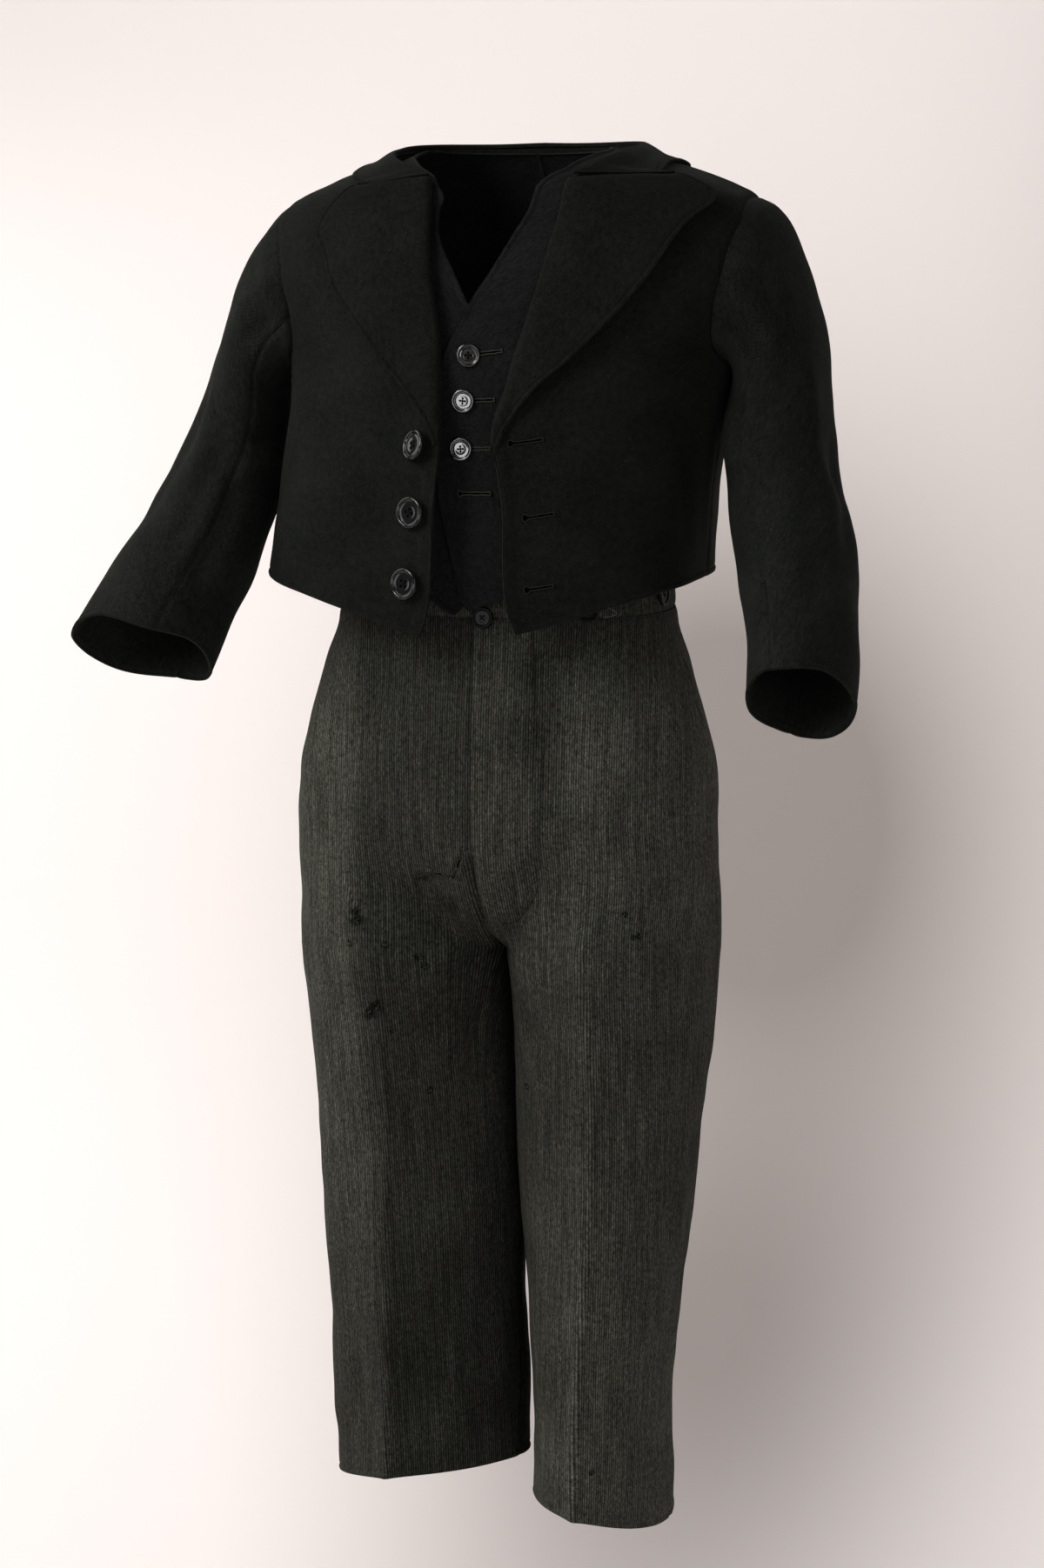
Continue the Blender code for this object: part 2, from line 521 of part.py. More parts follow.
# ---------------------------------------------------------------- lapels and collar
def lapels():
    across = np.linspace(0, 1, 6)
    for side, word in ((LEFT, "left"), (RIGHT, "right")):
        rows = LAPEL[side]
        u, v = np.meshgrid(across, np.linspace(0, 1, 11), indexing="ij")
        angle = curve(rows, "roll_angle", v) * (1 - u) + curve(rows, "edge_angle", v) * u
        height = curve(rows, "roll_height", v) * (1 - u) + curve(rows, "edge_height", v) * u
        lift = LAPEL_CLEAR + (curve(rows, "lift", v) * MM - 1.0 * MM) * u
        normals = torso_facing(JACKET, side * angle, height)
        points = torso(JACKET, side * angle, height) + lift[..., None] * normals
        wall("jacket_lapel_" + word, points, normals, LAPEL_WALL, "jacket")


def collar_lines(side, t):
    """Neck seam, outer edge and stand of half the collar; t runs from the gorge to the back."""
    rows, edge = COLLAR[side], JACKET_EDGE[side]
    gorge = curve(edge, "angle", -0.0045)
    seam_angle = gorge + (180 - gorge) * t
    neckline = np.interp(seam_angle, edge["angle"][-5:], edge["height"][-5:])
    behind = neck_behind(seam_angle, JACKET_NECK, JACKET_NECK_BACK)
    seam_height = np.where(seam_angle < 90, neckline, behind)
    return (side * seam_angle, seam_height, side * curve(rows, "edge_angle", t),
            curve(rows, "edge_height", t), curve(rows, "stand", t) * MM)


def collar_run(count):
    """The collar's lines from the right gorge round the back to the left gorge."""
    t = np.linspace(0, 1, count)
    right, left = collar_lines(RIGHT, t), collar_lines(LEFT, t[::-1])
    runs = [np.concatenate([r, l[1:]]) for r, l in zip(right, left)]
    for k in (0, 2):
        runs[k] = np.where(runs[k] < -179.9, 180.0, runs[k])
    return runs


def lifted(angle, height, lift, upright):
    """Points off the jacket's form; upright 1 lifts them straight up, 0 along the form's normal."""
    out = torso_facing(JACKET, angle, height)
    upright = np.asarray(upright)[..., None]
    way = unit(out * (1 - upright) + np.array([0.0, 0.0, 1.0]) * upright)
    return torso(JACKET, angle, height) + lift[..., None] * way


def grid_facing(grid):
    return unit(np.cross(np.gradient(grid, axis=0), np.gradient(grid, axis=1)))


def collar():
    seam_angle, seam_height, edge_angle, edge_height, stand = [r[:, None] for r in collar_run(9)]
    seam_angle, edge_angle = np.abs(seam_angle), np.abs(edge_angle)
    side = np.concatenate([-np.ones(9), np.ones(8)])[:, None]
    down = np.linspace(0, 1, 7)[None, :]
    angle = side * (seam_angle * (1 - down) + edge_angle * down)
    height = seam_height * (1 - down) + edge_height * down
    drop = smooth(down / 0.6)
    lift = COLLAR_EDGE_LIFT + (stand - COLLAR_EDGE_LIFT) * (1 - drop)
    fall = lifted(angle, height, lift, COLLAR_UPRIGHT * (1 - drop))
    wall("jacket_collar_fall", fall, grid_facing(fall), COLLAR_WALL, "jacket")
    up = np.linspace(0, 1, 3)[None, :]
    low, high = 0.8 * MM, stand - COLLAR_WALL - 1.0 * MM
    angle, height = side * seam_angle + 0 * up, seam_height + 0 * up
    upright = lifted(angle, height, low + (high - low) * up, COLLAR_UPRIGHT + 0 * up)
    wall("jacket_collar_stand", upright, -grid_facing(upright), COLLAR_WALL, "jacket")


# ---------------------------------------------------------------- trousers
def leg_ring(side, turn, height):
    """Points round a leg: turn 0 is the inseam, 90 the front crease, 180 the outseam."""
    rows = LEGS[side]
    half, deep = curve(rows, "half_width", height), curve(rows, "half_depth", height)
    angle = np.radians(turn)
    sharp = (np.exp(-np.abs(turn - 90) / PRESS["width"]) + np.exp(-np.abs(turn - 270) / PRESS["width"]))
    x = -side * half * np.cos(angle)
    y = -(deep + PRESS["height"] * sharp) * np.sin(angle)
    twist = np.radians(curve(rows, "turn", height))
    centre = curve(rows, "inner", height) + side * half * np.cos(twist)
    return np.stack(np.broadcast_arrays(centre + x * np.cos(twist) - y * np.sin(twist),
                                        LEG_CENTRE_Y + x * np.sin(twist) + y * np.cos(twist), height), -1)


def trouser(side, c, height):
    """Points on one trouser half: c is 0 at the centre front, 1 at the side, 2 at the back.

    Below the crotch the same c runs from the inseam round the leg.
    """
    c, height = np.broadcast_arrays(c, height)
    hips = torso(TROUSERS, side * 90 * c, height)
    leg = leg_ring(side, 180 * c, np.minimum(height, CROTCH))
    leg = np.concatenate([leg[..., :2], height[..., None]], -1)
    down = np.clip((RISE_TOP - height) / (RISE_TOP - CROTCH), 0, 1)
    round_seam = 1 - np.sqrt(np.maximum(1 - down**2, 0))
    near = 1 - smooth(np.minimum(c, 2 - c) / FORK_REACH)
    blend = (near * round_seam + (1 - near) * smooth(down))[..., None]
    return hips * (1 - blend) + leg * blend


def trouser_facing(side, c, height):
    """Outward normals, kept in the centre plane along the centre seam."""
    def surface(a, h):
        return trouser(side, a, h)
    inside = np.clip(c, 0.02, 1.98)
    steady = np.where(np.abs(height - CROTCH) < 2 * MM, CROTCH - 2.5 * MM, height)
    normals = side * facing(surface, inside, steady, 0.01, 0.5 * MM)
    seam = (c < 0.01) | (c > 1.99)
    hips = seam & (height > CROTCH + 0.1 * MM)
    back_or_front = np.where(c > 1, 1.0, -1.0)
    down = np.clip((RISE_TOP - height) / (RISE_TOP - CROTCH), 0, 1)
    centre = np.stack(np.broadcast_arrays(0.0, back_or_front * np.sqrt(1 - down**2), -down), -1)
    normals = np.where(hips[..., None], centre, normals)
    fork = seam & (np.abs(height - CROTCH) <= 0.1 * MM)
    normals = np.where(fork[..., None], np.array([0.0, 0.0, -1.0]), normals)
    leg = seam & (height < CROTCH - 0.1 * MM)
    return np.where(leg[..., None], np.array([-side, 0.0, 0.0]), normals)


def trousers():
    bend = np.sin(np.radians(np.linspace(0, 90, 5)))
    heights = np.concatenate([np.linspace(WAIST_SEAM, RISE_TOP, 3), RISE_TOP + (CROTCH - RISE_TOP) * bend[1:],
                              np.linspace(CROTCH, -0.850, 8)[1:]])
    spread = np.array([0, 0.14, 0.28, 0.40, 0.50, 0.60, 0.72, 0.86, 1.0])
    for side, word in ((LEFT, "left"), (RIGHT, "right")):
        hem = LEG_HEM[side]
        for part, c in (("front", spread), ("back", 2 - spread)):
            c, height = np.meshgrid(c, heights, indexing="ij")
            turn = np.radians(180 * c)
            low = hem["mean"] - hem["outer"] * np.cos(turn) + hem["front"] * np.sin(turn)
            height = height + (low + 0.850) * np.clip((-0.60 - height) / 0.25, 0, 1) ** 2
            points = trouser(side, c, height)
            wall("trouser_%s_%s" % (part, word), points, trouser_facing(side, c, height), TROUSER_WALL, "trouser")
        angle, height = np.meshgrid(np.linspace(0, 180, 17), np.linspace(WAIST_SEAM, WAIST_TOP, 3), indexing="ij")
        points = torso(TROUSERS, side * angle, height)
        wall("trouser_waistband_" + word, points, torso_facing(TROUSERS, side * angle, height),
             TROUSER_WALL, "trouser")


# ---------------------------------------------------------------- buttons
def button(name, size, form, angle, height, off):
    """A rimmed, dished button lying on a form, its back a little off the cloth."""
    angle, height = np.float64(angle), np.float64(height)
    out = torso_facing(form, angle, height)
    side = unit(np.cross([0.0, 0.0, 1.0], out))
    up = np.cross(out, side)
    r, d = size["radius"], size["depth"]
    profile = [(0.0, 0.0), (0.80 * r, 0.0), (r, 0.35 * d), (0.98 * r, 0.80 * d), (0.88 * r, d),
               (0.74 * r, 0.80 * d), (0.60 * r, 0.62 * d), (0.0, 0.55 * d)]
    around = 16
    base = torso(form, angle, height) + off * out
    vertices, faces = [base], []
    for radius, rise in profile[1:-1]:
        for k in range(around):
            a = 2 * math.pi * k / around
            vertices.append(base + radius * (math.cos(a) * side + math.sin(a) * up) + rise * out)
    vertices.append(base + profile[-1][1] * out)
    for k in range(around):
        n = (k + 1) % around
        faces.append([0, 1 + n, 1 + k])
        for ring in range(len(profile) - 3):
            a, b = 1 + ring * around, 1 + (ring + 1) * around
            faces.append([a + k, a + n, b + n, b + k])
        last = 1 + (len(profile) - 3) * around
        faces.append([last + k, last + n, len(vertices) - 1])
    solid(name, vertices, faces, "horn")


def buttons():
    seat = 0.5 * MM
    for k in range(3):
        button("jacket_button_%d" % (k + 1), JACKET_BUTTON, JACKET, JACKET_BUTTONS["angle"][k],
               JACKET_BUTTONS["height"][k], seat)
        button("vest_button_%d" % (k + 1), VEST_BUTTON, VEST, VEST_BUTTONS["angle"][k],
               VEST_BUTTONS["height"][k], VEST_LAP + 0.2 * MM)
    button("trouser_waist_button", BRACE_BUTTON, TROUSERS, *WAIST_BUTTON, seat)
    for k in range(6):
        button("trouser_brace_button_%d" % (k + 1), BRACE_BUTTON, TROUSERS, BRACE_BUTTONS["angle"][k],
               BRACE_BUTTONS["height"][k], seat)


def main():
    for old in list(bpy.data.objects):
        bpy.data.objects.remove(old, do_unlink=True)
    jacket_body()
    sleeves()
    lapels()
    collar()
    vest_body()
    trousers()
    buttons()


main()
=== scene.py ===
"""Looks of a child's three-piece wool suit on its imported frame.

Metres, +Z up, the front faces -Y and +X is the wearer's left, as in the frame.
The garments' forms are the CAD part's own, read on finer grids, with folds, seams,
stitching, buttonholes, wear and materials added.
"""
import math
import bpy
import mathutils
import numpy as np
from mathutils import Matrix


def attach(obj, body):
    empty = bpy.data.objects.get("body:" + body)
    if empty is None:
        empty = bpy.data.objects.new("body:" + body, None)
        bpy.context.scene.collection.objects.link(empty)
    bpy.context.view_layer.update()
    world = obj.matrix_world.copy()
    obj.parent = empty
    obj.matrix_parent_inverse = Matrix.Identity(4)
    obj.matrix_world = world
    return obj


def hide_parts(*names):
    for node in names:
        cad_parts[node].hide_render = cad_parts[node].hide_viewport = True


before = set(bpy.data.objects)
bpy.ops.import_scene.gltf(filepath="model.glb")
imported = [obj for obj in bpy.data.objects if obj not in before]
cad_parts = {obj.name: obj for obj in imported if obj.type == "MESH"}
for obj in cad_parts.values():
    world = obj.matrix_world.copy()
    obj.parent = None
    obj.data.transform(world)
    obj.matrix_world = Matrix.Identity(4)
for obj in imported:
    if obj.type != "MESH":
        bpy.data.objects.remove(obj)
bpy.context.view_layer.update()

MM = 0.001
LEFT, RIGHT = 1, -1
SIDES = ((LEFT, "left"), (RIGHT, "right"))
FINE = 1.0
JACKET_CLOTH = 1.9 * MM
THIN_CLOTH = 1.4 * MM            # the waistcoat's and the trousers'
COLLAR_CLOTH = 1.5 * MM


def table(names, *rows):
    """Rows of numbers as named columns."""
    return {name: np.array(column, float) for name, column in zip(names.split(), zip(*rows))}


# ---------------------------------------------------------------- torso forms
SECTION = "height half_width front back centre_x centre_y square"
JACKET = table(
    SECTION,
    (-0.300, 0.1420, 0.098, 0.103, -0.010, -0.020, 2.6),
    (-0.250, 0.1405, 0.097, 0.101, -0.009, -0.019, 2.6),
    (-0.200, 0.1385, 0.098, 0.097, -0.006, -0.013, 2.6),
    (-0.150, 0.1395, 0.102, 0.088, -0.001, 0.000, 2.5),
    (-0.115, 0.1460, 0.107, 0.081, 0.002, 0.010, 2.3),
    (-0.085, 0.1630, 0.106, 0.075, 0.004, 0.014, 2.2),
    (-0.060, 0.1720, 0.102, 0.072, 0.004, 0.015, 2.2),
    (-0.036, 0.1680, 0.095, 0.068, 0.004, 0.016, 2.2),
    (-0.018, 0.1500, 0.088, 0.063, 0.004, 0.017, 2.3),
    (-0.010, 0.1350, 0.084, 0.060, 0.004, 0.017, 2.3),
    (-0.004, 0.1200, 0.080, 0.057, 0.004, 0.017, 2.3),
    (0.003, 0.1000, 0.075, 0.053, 0.004, 0.017, 2.2),
    (0.010, 0.0800, 0.069, 0.049, 0.003, 0.017, 2.1),
    (0.018, 0.0580, 0.061, 0.044, 0.002, 0.017, 2.0))
VEST = table(
    SECTION,
    (-0.2900, 0.1096, 0.0835, 0.0865, 0.000, -0.012, 2.3),
    (-0.2400, 0.1085, 0.0810, 0.0855, 0.000, -0.012, 2.3),
    (-0.2000, 0.1120, 0.0840, 0.0810, 0.000, -0.006, 2.3),
    (-0.1500, 0.1220, 0.0920, 0.0725, 0.000, 0.004, 2.3),
    (-0.1150, 0.1320, 0.0980, 0.0675, 0.002, 0.010, 2.3),
    (-0.0850, 0.1440, 0.0990, 0.0645, 0.004, 0.014, 2.2),
    (-0.0600, 0.1520, 0.0960, 0.0635, 0.004, 0.015, 2.2),
    (-0.0396, 0.1600, 0.0900, 0.0625, 0.004, 0.016, 2.2),
    (-0.0216, 0.1500, 0.0840, 0.0575, 0.004, 0.017, 2.3),
    (-0.0136, 0.1350, 0.0800, 0.0545, 0.004, 0.017, 2.3),
    (-0.0076, 0.1200, 0.0760, 0.0515, 0.004, 0.017, 2.3),
    (-0.0006, 0.1000, 0.0710, 0.0475, 0.004, 0.017, 2.2),
    (0.0064, 0.0800, 0.0650, 0.0435, 0.003, 0.017, 2.1),
    (0.0144, 0.0580, 0.0570, 0.0385, 0.002, 0.017, 2.0))
TROUSERS = table(
    SECTION,
    (-0.500, 0.1380, 0.088, 0.098, 0.000, -0.010, 2.3),
    (-0.430, 0.1360, 0.089, 0.100, 0.000, -0.012, 2.3),
    (-0.380, 0.1345, 0.088, 0.098, 0.000, -0.012, 2.3),
    (-0.340, 0.1265, 0.085, 0.094, 0.000, -0.012, 2.3),
    (-0.310, 0.1180, 0.082, 0.089, 0.000, -0.012, 2.3),
    (-0.272, 0.1070, 0.079, 0.084, 0.000, -0.012, 2.3),
    (-0.230, 0.1062, 0.078, 0.083, 0.000, -0.012, 2.3))

# The wearer's left shoulder is a little the higher: the rise for each metre sideways.
LEAN = {"rise": 0.018, "pivot_x": -0.100, "from_height": -0.250, "full_height": -0.050}

# Outlines of the fronts: the front edge, the roll line or V, then the neckline.
EDGE = "height angle"
JACKET_EDGE = {
    LEFT: table(EDGE, (-0.278, 12.5), (-0.265, 10.5), (-0.246, 9.5), (-0.209, 8.5),
                (-0.183, 6.5), (-0.165, 4.8), (-0.152, 4.5), (-0.118, 7.5), (-0.083, 10.0),
                (-0.050, 12.0), (-0.016, 16.0), (-0.006, 20.0), (0.002, 38.0), (0.008, 60.0),
                (0.011, 90.0)),
    RIGHT: table(EDGE, (-0.281, 3.5), (-0.268, 2.5), (-0.247, 2.0), (-0.210, 2.5),
                 (-0.174, 3.0), (-0.147, 4.5), (-0.119, 6.5), (-0.092, 8.5), (-0.056, 10.0),
                 (-0.040, 11.0), (-0.019, 12.0), (-0.004, 17.0), (0.002, 36.0), (0.008, 60.0),
                 (0.011, 90.0))}
VEST_EDGE = {
    LEFT: table(EDGE, (-0.267, -0.5), (-0.260, -2.5), (-0.240, -4.5), (-0.218, -7.0),
                (-0.195, -9.0), (-0.150, -9.0), (-0.111, -7.0), (-0.100, -5.5), (-0.082, -2.5),
                (-0.057, 2.0), (-0.030, 6.5), (-0.010, 10.5), (0.003, 28.0), (0.010, 52.0),
                (0.0144, 90.0)),
    RIGHT: table(EDGE, (-0.270, 4.5), (-0.262, 1.5), (-0.240, -1.5), (-0.200, -6.0),
                 (-0.150, -6.0), (-0.111, -4.0), (-0.098, -1.5), (-0.082, 2.5), (-0.059, 6.5),
                 (-0.044, 9.0), (-0.034, 10.0), (-0.018, 10.0), (-0.004, 18.0), (0.006, 42.0),
                 (0.0144, 90.0))}

# Hem heights round each garment, from the front edge to the centre back.
HEM = "angle height"
JACKET_HEM = {
    LEFT: table(HEM, (12.5, -0.278), (39, -0.262), (64, -0.253), (90, -0.249), (180, -0.245)),
    RIGHT: table(HEM, (3.5, -0.281), (22, -0.267), (45, -0.257), (90, -0.249), (180, -0.245))}
VEST_HEM = {
    LEFT: table(HEM, (-0.5, -0.267), (3, -0.263), (9, -0.259), (40, -0.253), (90, -0.247),
                (180, -0.244)),
    RIGHT: table(HEM, (4.5, -0.270), (8, -0.267), (11, -0.262), (40, -0.254), (90, -0.247),
                 (180, -0.244))}

# Armholes: the tip on the shoulder, the underarm, and how far they cut to front and back.
JACKET_ARMHOLE = {"tip": -0.018, "underarm": -0.120, "front_cut": 36, "back_cut": 34}
VEST_ARMHOLE = {"tip": 0.0002, "underarm": -0.135, "front_cut": 48, "back_cut": 42}
JACKET_NECK = 0.011             # the neck point, where the shoulder seam ends
JACKET_NECK_BACK = 0.007
VEST_NECK = 0.0144
VEST_NECK_BACK = 0.011
NECK_RADIUS = 0.08              # about the distance from the neck's middle to a neckline
VEST_LAP = 2.8 * MM             # how far the upper front stands off the lower one's form

# ---------------------------------------------------------------- sleeves and legs
STATION = "along outer_x outer_z inner_x inner_z y half_depth forward"
SLEEVE = {
    LEFT: table(STATION, (0.00, 0.1540, -0.018, 0.1485, -0.1210, 0.006, 0.051, 0),
                (0.08, 0.1723, -0.032, 0.1495, -0.1225, 0.006, 0.051, 0),
                (0.16, 0.1850, -0.058, 0.1490, -0.1270, 0.006, 0.050, 0),
                (0.25, 0.1940, -0.083, 0.1470, -0.1360, 0.005, 0.049, 0),
                (0.34, 0.2015, -0.108, 0.1450, -0.1500, 0.004, 0.048, 2),
                (0.44, 0.2060, -0.140, 0.1435, -0.1680, 0.000, 0.047, 6),
                (0.54, 0.2120, -0.180, 0.1450, -0.1900, -0.010, 0.046, 14),
                (0.66, 0.2245, -0.210, 0.1500, -0.2220, -0.030, 0.044, 28),
                (0.78, 0.2335, -0.243, 0.1610, -0.2520, -0.056, 0.042, 36),
                (0.89, 0.2400, -0.277, 0.1710, -0.2830, -0.084, 0.041, 41),
                (1.00, 0.2440, -0.314, 0.1790, -0.3150, -0.112, 0.039, 43)),
    RIGHT: table(STATION, (0.00, 0.1460, -0.018, 0.1445, -0.1210, 0.006, 0.051, 0),
                 (0.08, 0.1625, -0.036, 0.1465, -0.1225, 0.006, 0.051, 0),
                 (0.16, 0.1770, -0.062, 0.1475, -0.1270, 0.006, 0.050, 0),
                 (0.25, 0.1855, -0.083, 0.1475, -0.1370, 0.006, 0.049, 0),
                 (0.35, 0.1935, -0.107, 0.1480, -0.1520, 0.005, 0.047, 2),
                 (0.45, 0.2000, -0.134, 0.1490, -0.1700, 0.001, 0.045, 6),
                 (0.56, 0.2085, -0.162, 0.1500, -0.1920, -0.010, 0.043, 14),
                 (0.68, 0.2190, -0.190, 0.1510, -0.2140, -0.028, 0.042, 22),
                 (0.80, 0.2310, -0.222, 0.1530, -0.2440, -0.052, 0.041, 29),
                 (0.90, 0.2460, -0.254, 0.1600, -0.2710, -0.075, 0.041, 32),
                 (1.00, 0.2610, -0.289, 0.1710, -0.3040, -0.098, 0.041, 35))}
SLEEVE_SEAMS = (112.5, 247.5)   # front and back seam, degrees from the shoulder tip
CAP = 0.30                      # the armhole's own shape has faded out this far along

LEG = "height inner half_width half_depth turn"
LEGS = {
    LEFT: table(LEG, (-0.860, 0.0200, 0.0425, 0.078, 0), (-0.790, 0.0190, 0.0440, 0.077, 1),
                (-0.730, 0.0150, 0.0490, 0.074, 2), (-0.670, 0.0105, 0.0550, 0.071, 4),
                (-0.610, 0.0070, 0.0600, 0.071, 5), (-0.550, 0.0045, 0.0650, 0.077, 3),
                (-0.492, 0.0000, 0.0690, 0.086, 0)),
    RIGHT: table(LEG, (-0.860, 0.0125, 0.0670, 0.058, -17), (-0.790, 0.0125, 0.0670, 0.058, -13),
                 (-0.730, 0.0095, 0.0665, 0.059, -9), (-0.670, 0.0050, 0.0660, 0.060, -4),
                 (-0.610, 0.0015, 0.0655, 0.063, 0), (-0.550, 0.0000, 0.0665, 0.072, 2),
                 (-0.492, 0.0000, 0.0685, 0.085, 0))}
LEG_HEM = {LEFT: {"mean": -0.8560, "outer": -0.006, "front": 0.003},
           RIGHT: {"mean": -0.8405, "outer": -0.012, "front": 0.002}}
LEG_CENTRE_Y = -0.004
PRESS = {"height": 4.0 * MM, "width": 9.0}      # the pressed crease, degrees wide
WAIST_TOP, WAIST_SEAM = -0.230, -0.272
RISE_TOP, CROTCH = -0.400, -0.492               # the centre seam curves between these
FORK_REACH = 0.35                               # the share of a panel that its curve affects

# ---------------------------------------------------------------- lapels, collar, buttons
LAPEL_ROW = "along roll_angle roll_height edge_angle edge_height lift"
LAPEL = {
    LEFT: table(LAPEL_ROW, (0.00, 4.5, -0.1520, 5.5, -0.1570, 3.0), (0.14, 6.3, -0.132, 12.5, -0.1325, 5.5),
                (0.29, 8.1, -0.110, 21.0, -0.1130, 7.0), (0.46, 10.0, -0.083, 28.5, -0.0855, 8.0),
                (0.63, 11.8, -0.056, 35.0, -0.0600, 8.0), (0.78, 13.8, -0.034, 43.5, -0.0350, 6.5),
                (0.92, 16.0, -0.016, 59.5, -0.0170, 4.5), (1.00, 20.0, -0.0065, 57.0, -0.0075, 4.5)),
    RIGHT: table(LAPEL_ROW, (0.00, 4.5, -0.1480, 5.7, -0.1575, 3.0), (0.14, 6.0, -0.128, 14.0, -0.1300, 4.0),
                 (0.28, 7.4, -0.109, 22.0, -0.1110, 4.5), (0.44, 8.7, -0.086, 28.5, -0.0880, 4.5),
                 (0.59, 9.7, -0.064, 32.5, -0.0700, 4.5), (0.74, 11.0, -0.040, 35.5, -0.0510, 4.5),
                 (0.88, 12.0, -0.020, 40.0, -0.0340, 4.0), (1.00, 17.0, -0.0045, 38.5, -0.0115, 4.5))}
LAPEL_CLEAR = 2.6 * MM          # lapel surface over the front, at the roll

COLLAR_ROW = "round stand edge_angle edge_height"
COLLAR = {
    LEFT: table(COLLAR_ROW, (0.00, 5.0, 57, -0.0058), (0.20, 6.5, 68, -0.0015),
                (0.45, 11.0, 90, 0.0030), (0.75, 18.0, 135, -0.0040), (1.00, 21.0, 180, -0.0100)),
    RIGHT: table(COLLAR_ROW, (0.00, 5.0, 38, -0.0095), (0.20, 6.5, 58, -0.0045),
                 (0.45, 11.0, 90, 0.0030), (0.75, 18.0, 135, -0.0040), (1.00, 21.0, 180, -0.0100))}
COLLAR_EDGE_LIFT = 5.5 * MM
COLLAR_UPRIGHT = 0.75
COLLAR_WALL = 2.0 * MM


def curve(rows, name, at):
    """One column of a table, read smoothly at places along its first column."""
    key = next(iter(rows))
    x, y = rows[key], rows[name]
    step = np.diff(y) / np.diff(x)
    slope = np.empty_like(y)
    slope[0], slope[-1] = step[0], step[-1]
    both = step[:-1] * step[1:]
    total = np.where(both > 0, step[:-1] + step[1:], 1.0)
    slope[1:-1] = np.where(both > 0, 2 * both / total, 0.0)
    at = np.clip(at, x[0], x[-1])
    i = np.clip(np.searchsorted(x, at, side="right") - 1, 0, len(x) - 2)
    gap = x[i + 1] - x[i]
    t = (at - x[i]) / gap
    return ((2 * t**3 - 3 * t**2 + 1) * y[i] + (t**3 - 2 * t**2 + t) * gap * slope[i]
            + (3 * t**2 - 2 * t**3) * y[i + 1] + (t**3 - t**2) * gap * slope[i + 1])


def smooth(t):
    """0 to 1 with soft ends."""
    t = np.clip(t, 0.0, 1.0)
    return t * t * (3 - 2 * t)


def unit(vectors):
    return vectors / np.maximum(np.linalg.norm(vectors, axis=-1, keepdims=True), 1e-12)


def leaned(points):
    """Points with the shoulders' slight lean, which fades out above the waist."""
    reach = LEAN["full_height"] - LEAN["from_height"]
    share = smooth((points[..., 2] - LEAN["from_height"]) / reach)
    rise = LEAN["rise"] * (points[..., 0] - LEAN["pivot_x"]) * share
    return np.stack([points[..., 0], points[..., 1], points[..., 2] + rise], -1)


def torso(form, angle, height):
    """Points on a garment's form."""
    s, c = np.sin(np.radians(angle)), np.cos(np.radians(angle))
    bend = 2 / curve(form, "square", height)
    depth = np.where(c > 0, curve(form, "front", height), curve(form, "back", height))
    half = curve(form, "half_width", height)
    x = curve(form, "centre_x", height) + half * np.sign(s) * np.abs(s) ** bend
    y = curve(form, "centre_y", height) - depth * np.sign(c) * np.abs(c) ** bend
    return leaned(np.stack(np.broadcast_arrays(x, y, height), -1))


def facing(surface, a, b, step_a, step_b):
    """Unit normals of a surface, along its first direction crossed with its second."""
    across = surface(a + step_a, b) - surface(a - step_a, b)
    up = surface(a, b + step_b) - surface(a, b - step_b)
    return unit(np.cross(across, up))


def torso_facing(form, angle, height):
    return facing(lambda a, h: torso(form, a, h), angle, height, 0.5, 0.5 * MM)


def armhole(cut, turn):
    """Angle and height on an armhole: turn is 0 at the shoulder tip, 90 in front, 180 below."""
    middle = (cut["tip"] + cut["underarm"]) / 2
    reach = (cut["tip"] - cut["underarm"]) / 2
    s = np.sin(np.radians(turn))
    dip = np.where(s > 0, cut["front_cut"], -cut["back_cut"])
    return 90 - dip * np.abs(s) ** 0.8, middle + reach * np.cos(np.radians(turn))


def shoulder_height(form, half_width):
    """The height at which a form has narrowed to a half width, on its shoulder slope."""
    heights = np.linspace(-0.030, form["height"][-1], 200)
    return np.interp(-half_width, -curve(form, "half_width", heights), heights)


# ---------------------------------------------------------------- panels
def coons(bottom, top, left, right, u, v):
    """A patch between four edges, each a function giving (angle, height)."""
    u, v = u[:, None, None], v[None, :, None]
    b, t = bottom(u[..., 0]), top(u[..., 0])
    l, r = left(v[..., 0]), right(v[..., 0])
    ends = ((1 - u) * (1 - v) * b[:1] + u * (1 - v) * b[-1:]
            + (1 - u) * v * t[:1] + u * v * t[-1:])
    return (1 - v) * b + v * t + (1 - u) * l + u * r - ends


def pair(angle, height):
    return np.stack(np.broadcast_arrays(angle, height), -1)


def body_panel(form, cut, inner, hem, neck, u, v):
    """(angle, height) grid of a front or half back: inner edge to side seam, hem to shoulder.

    inner gives (angle, height) up the centre and round the neckline to the neck point.
    """
    start = inner(np.float64(0.0))
    front = start[..., 0] < 90

    def right(v):
        turn = np.where(v > 0.5, 360 - 360 * v, 180.0)
        arm = pair(*armhole(cut, turn if front else -turn))
        side = pair(90.0, hem(90.0) + (cut["underarm"] - hem(90.0)) * np.clip(2 * v, 0, 1))
        return np.where((v > 0.5)[..., None], arm, side)

    def bottom(u):
        angle = start[..., 0] + (90 - start[..., 0]) * u
        return pair(angle, hem(angle))

    def top(u):
        wide, tip = curve(form, "half_width", neck), curve(form, "half_width", cut["tip"])
        return pair(90.0, shoulder_height(form, wide + (tip - wide) * u))

    return coons(bottom, top, inner, right, u, v)


def even_run(angles, heights):
    """How far along a line of (angle, height) each point is, from 0 to 1."""
    steps = np.hypot(np.diff(heights), np.radians(np.diff(angles)) * NECK_RADIUS)
    return np.concatenate([[0], np.cumsum(steps)]) / steps.sum()


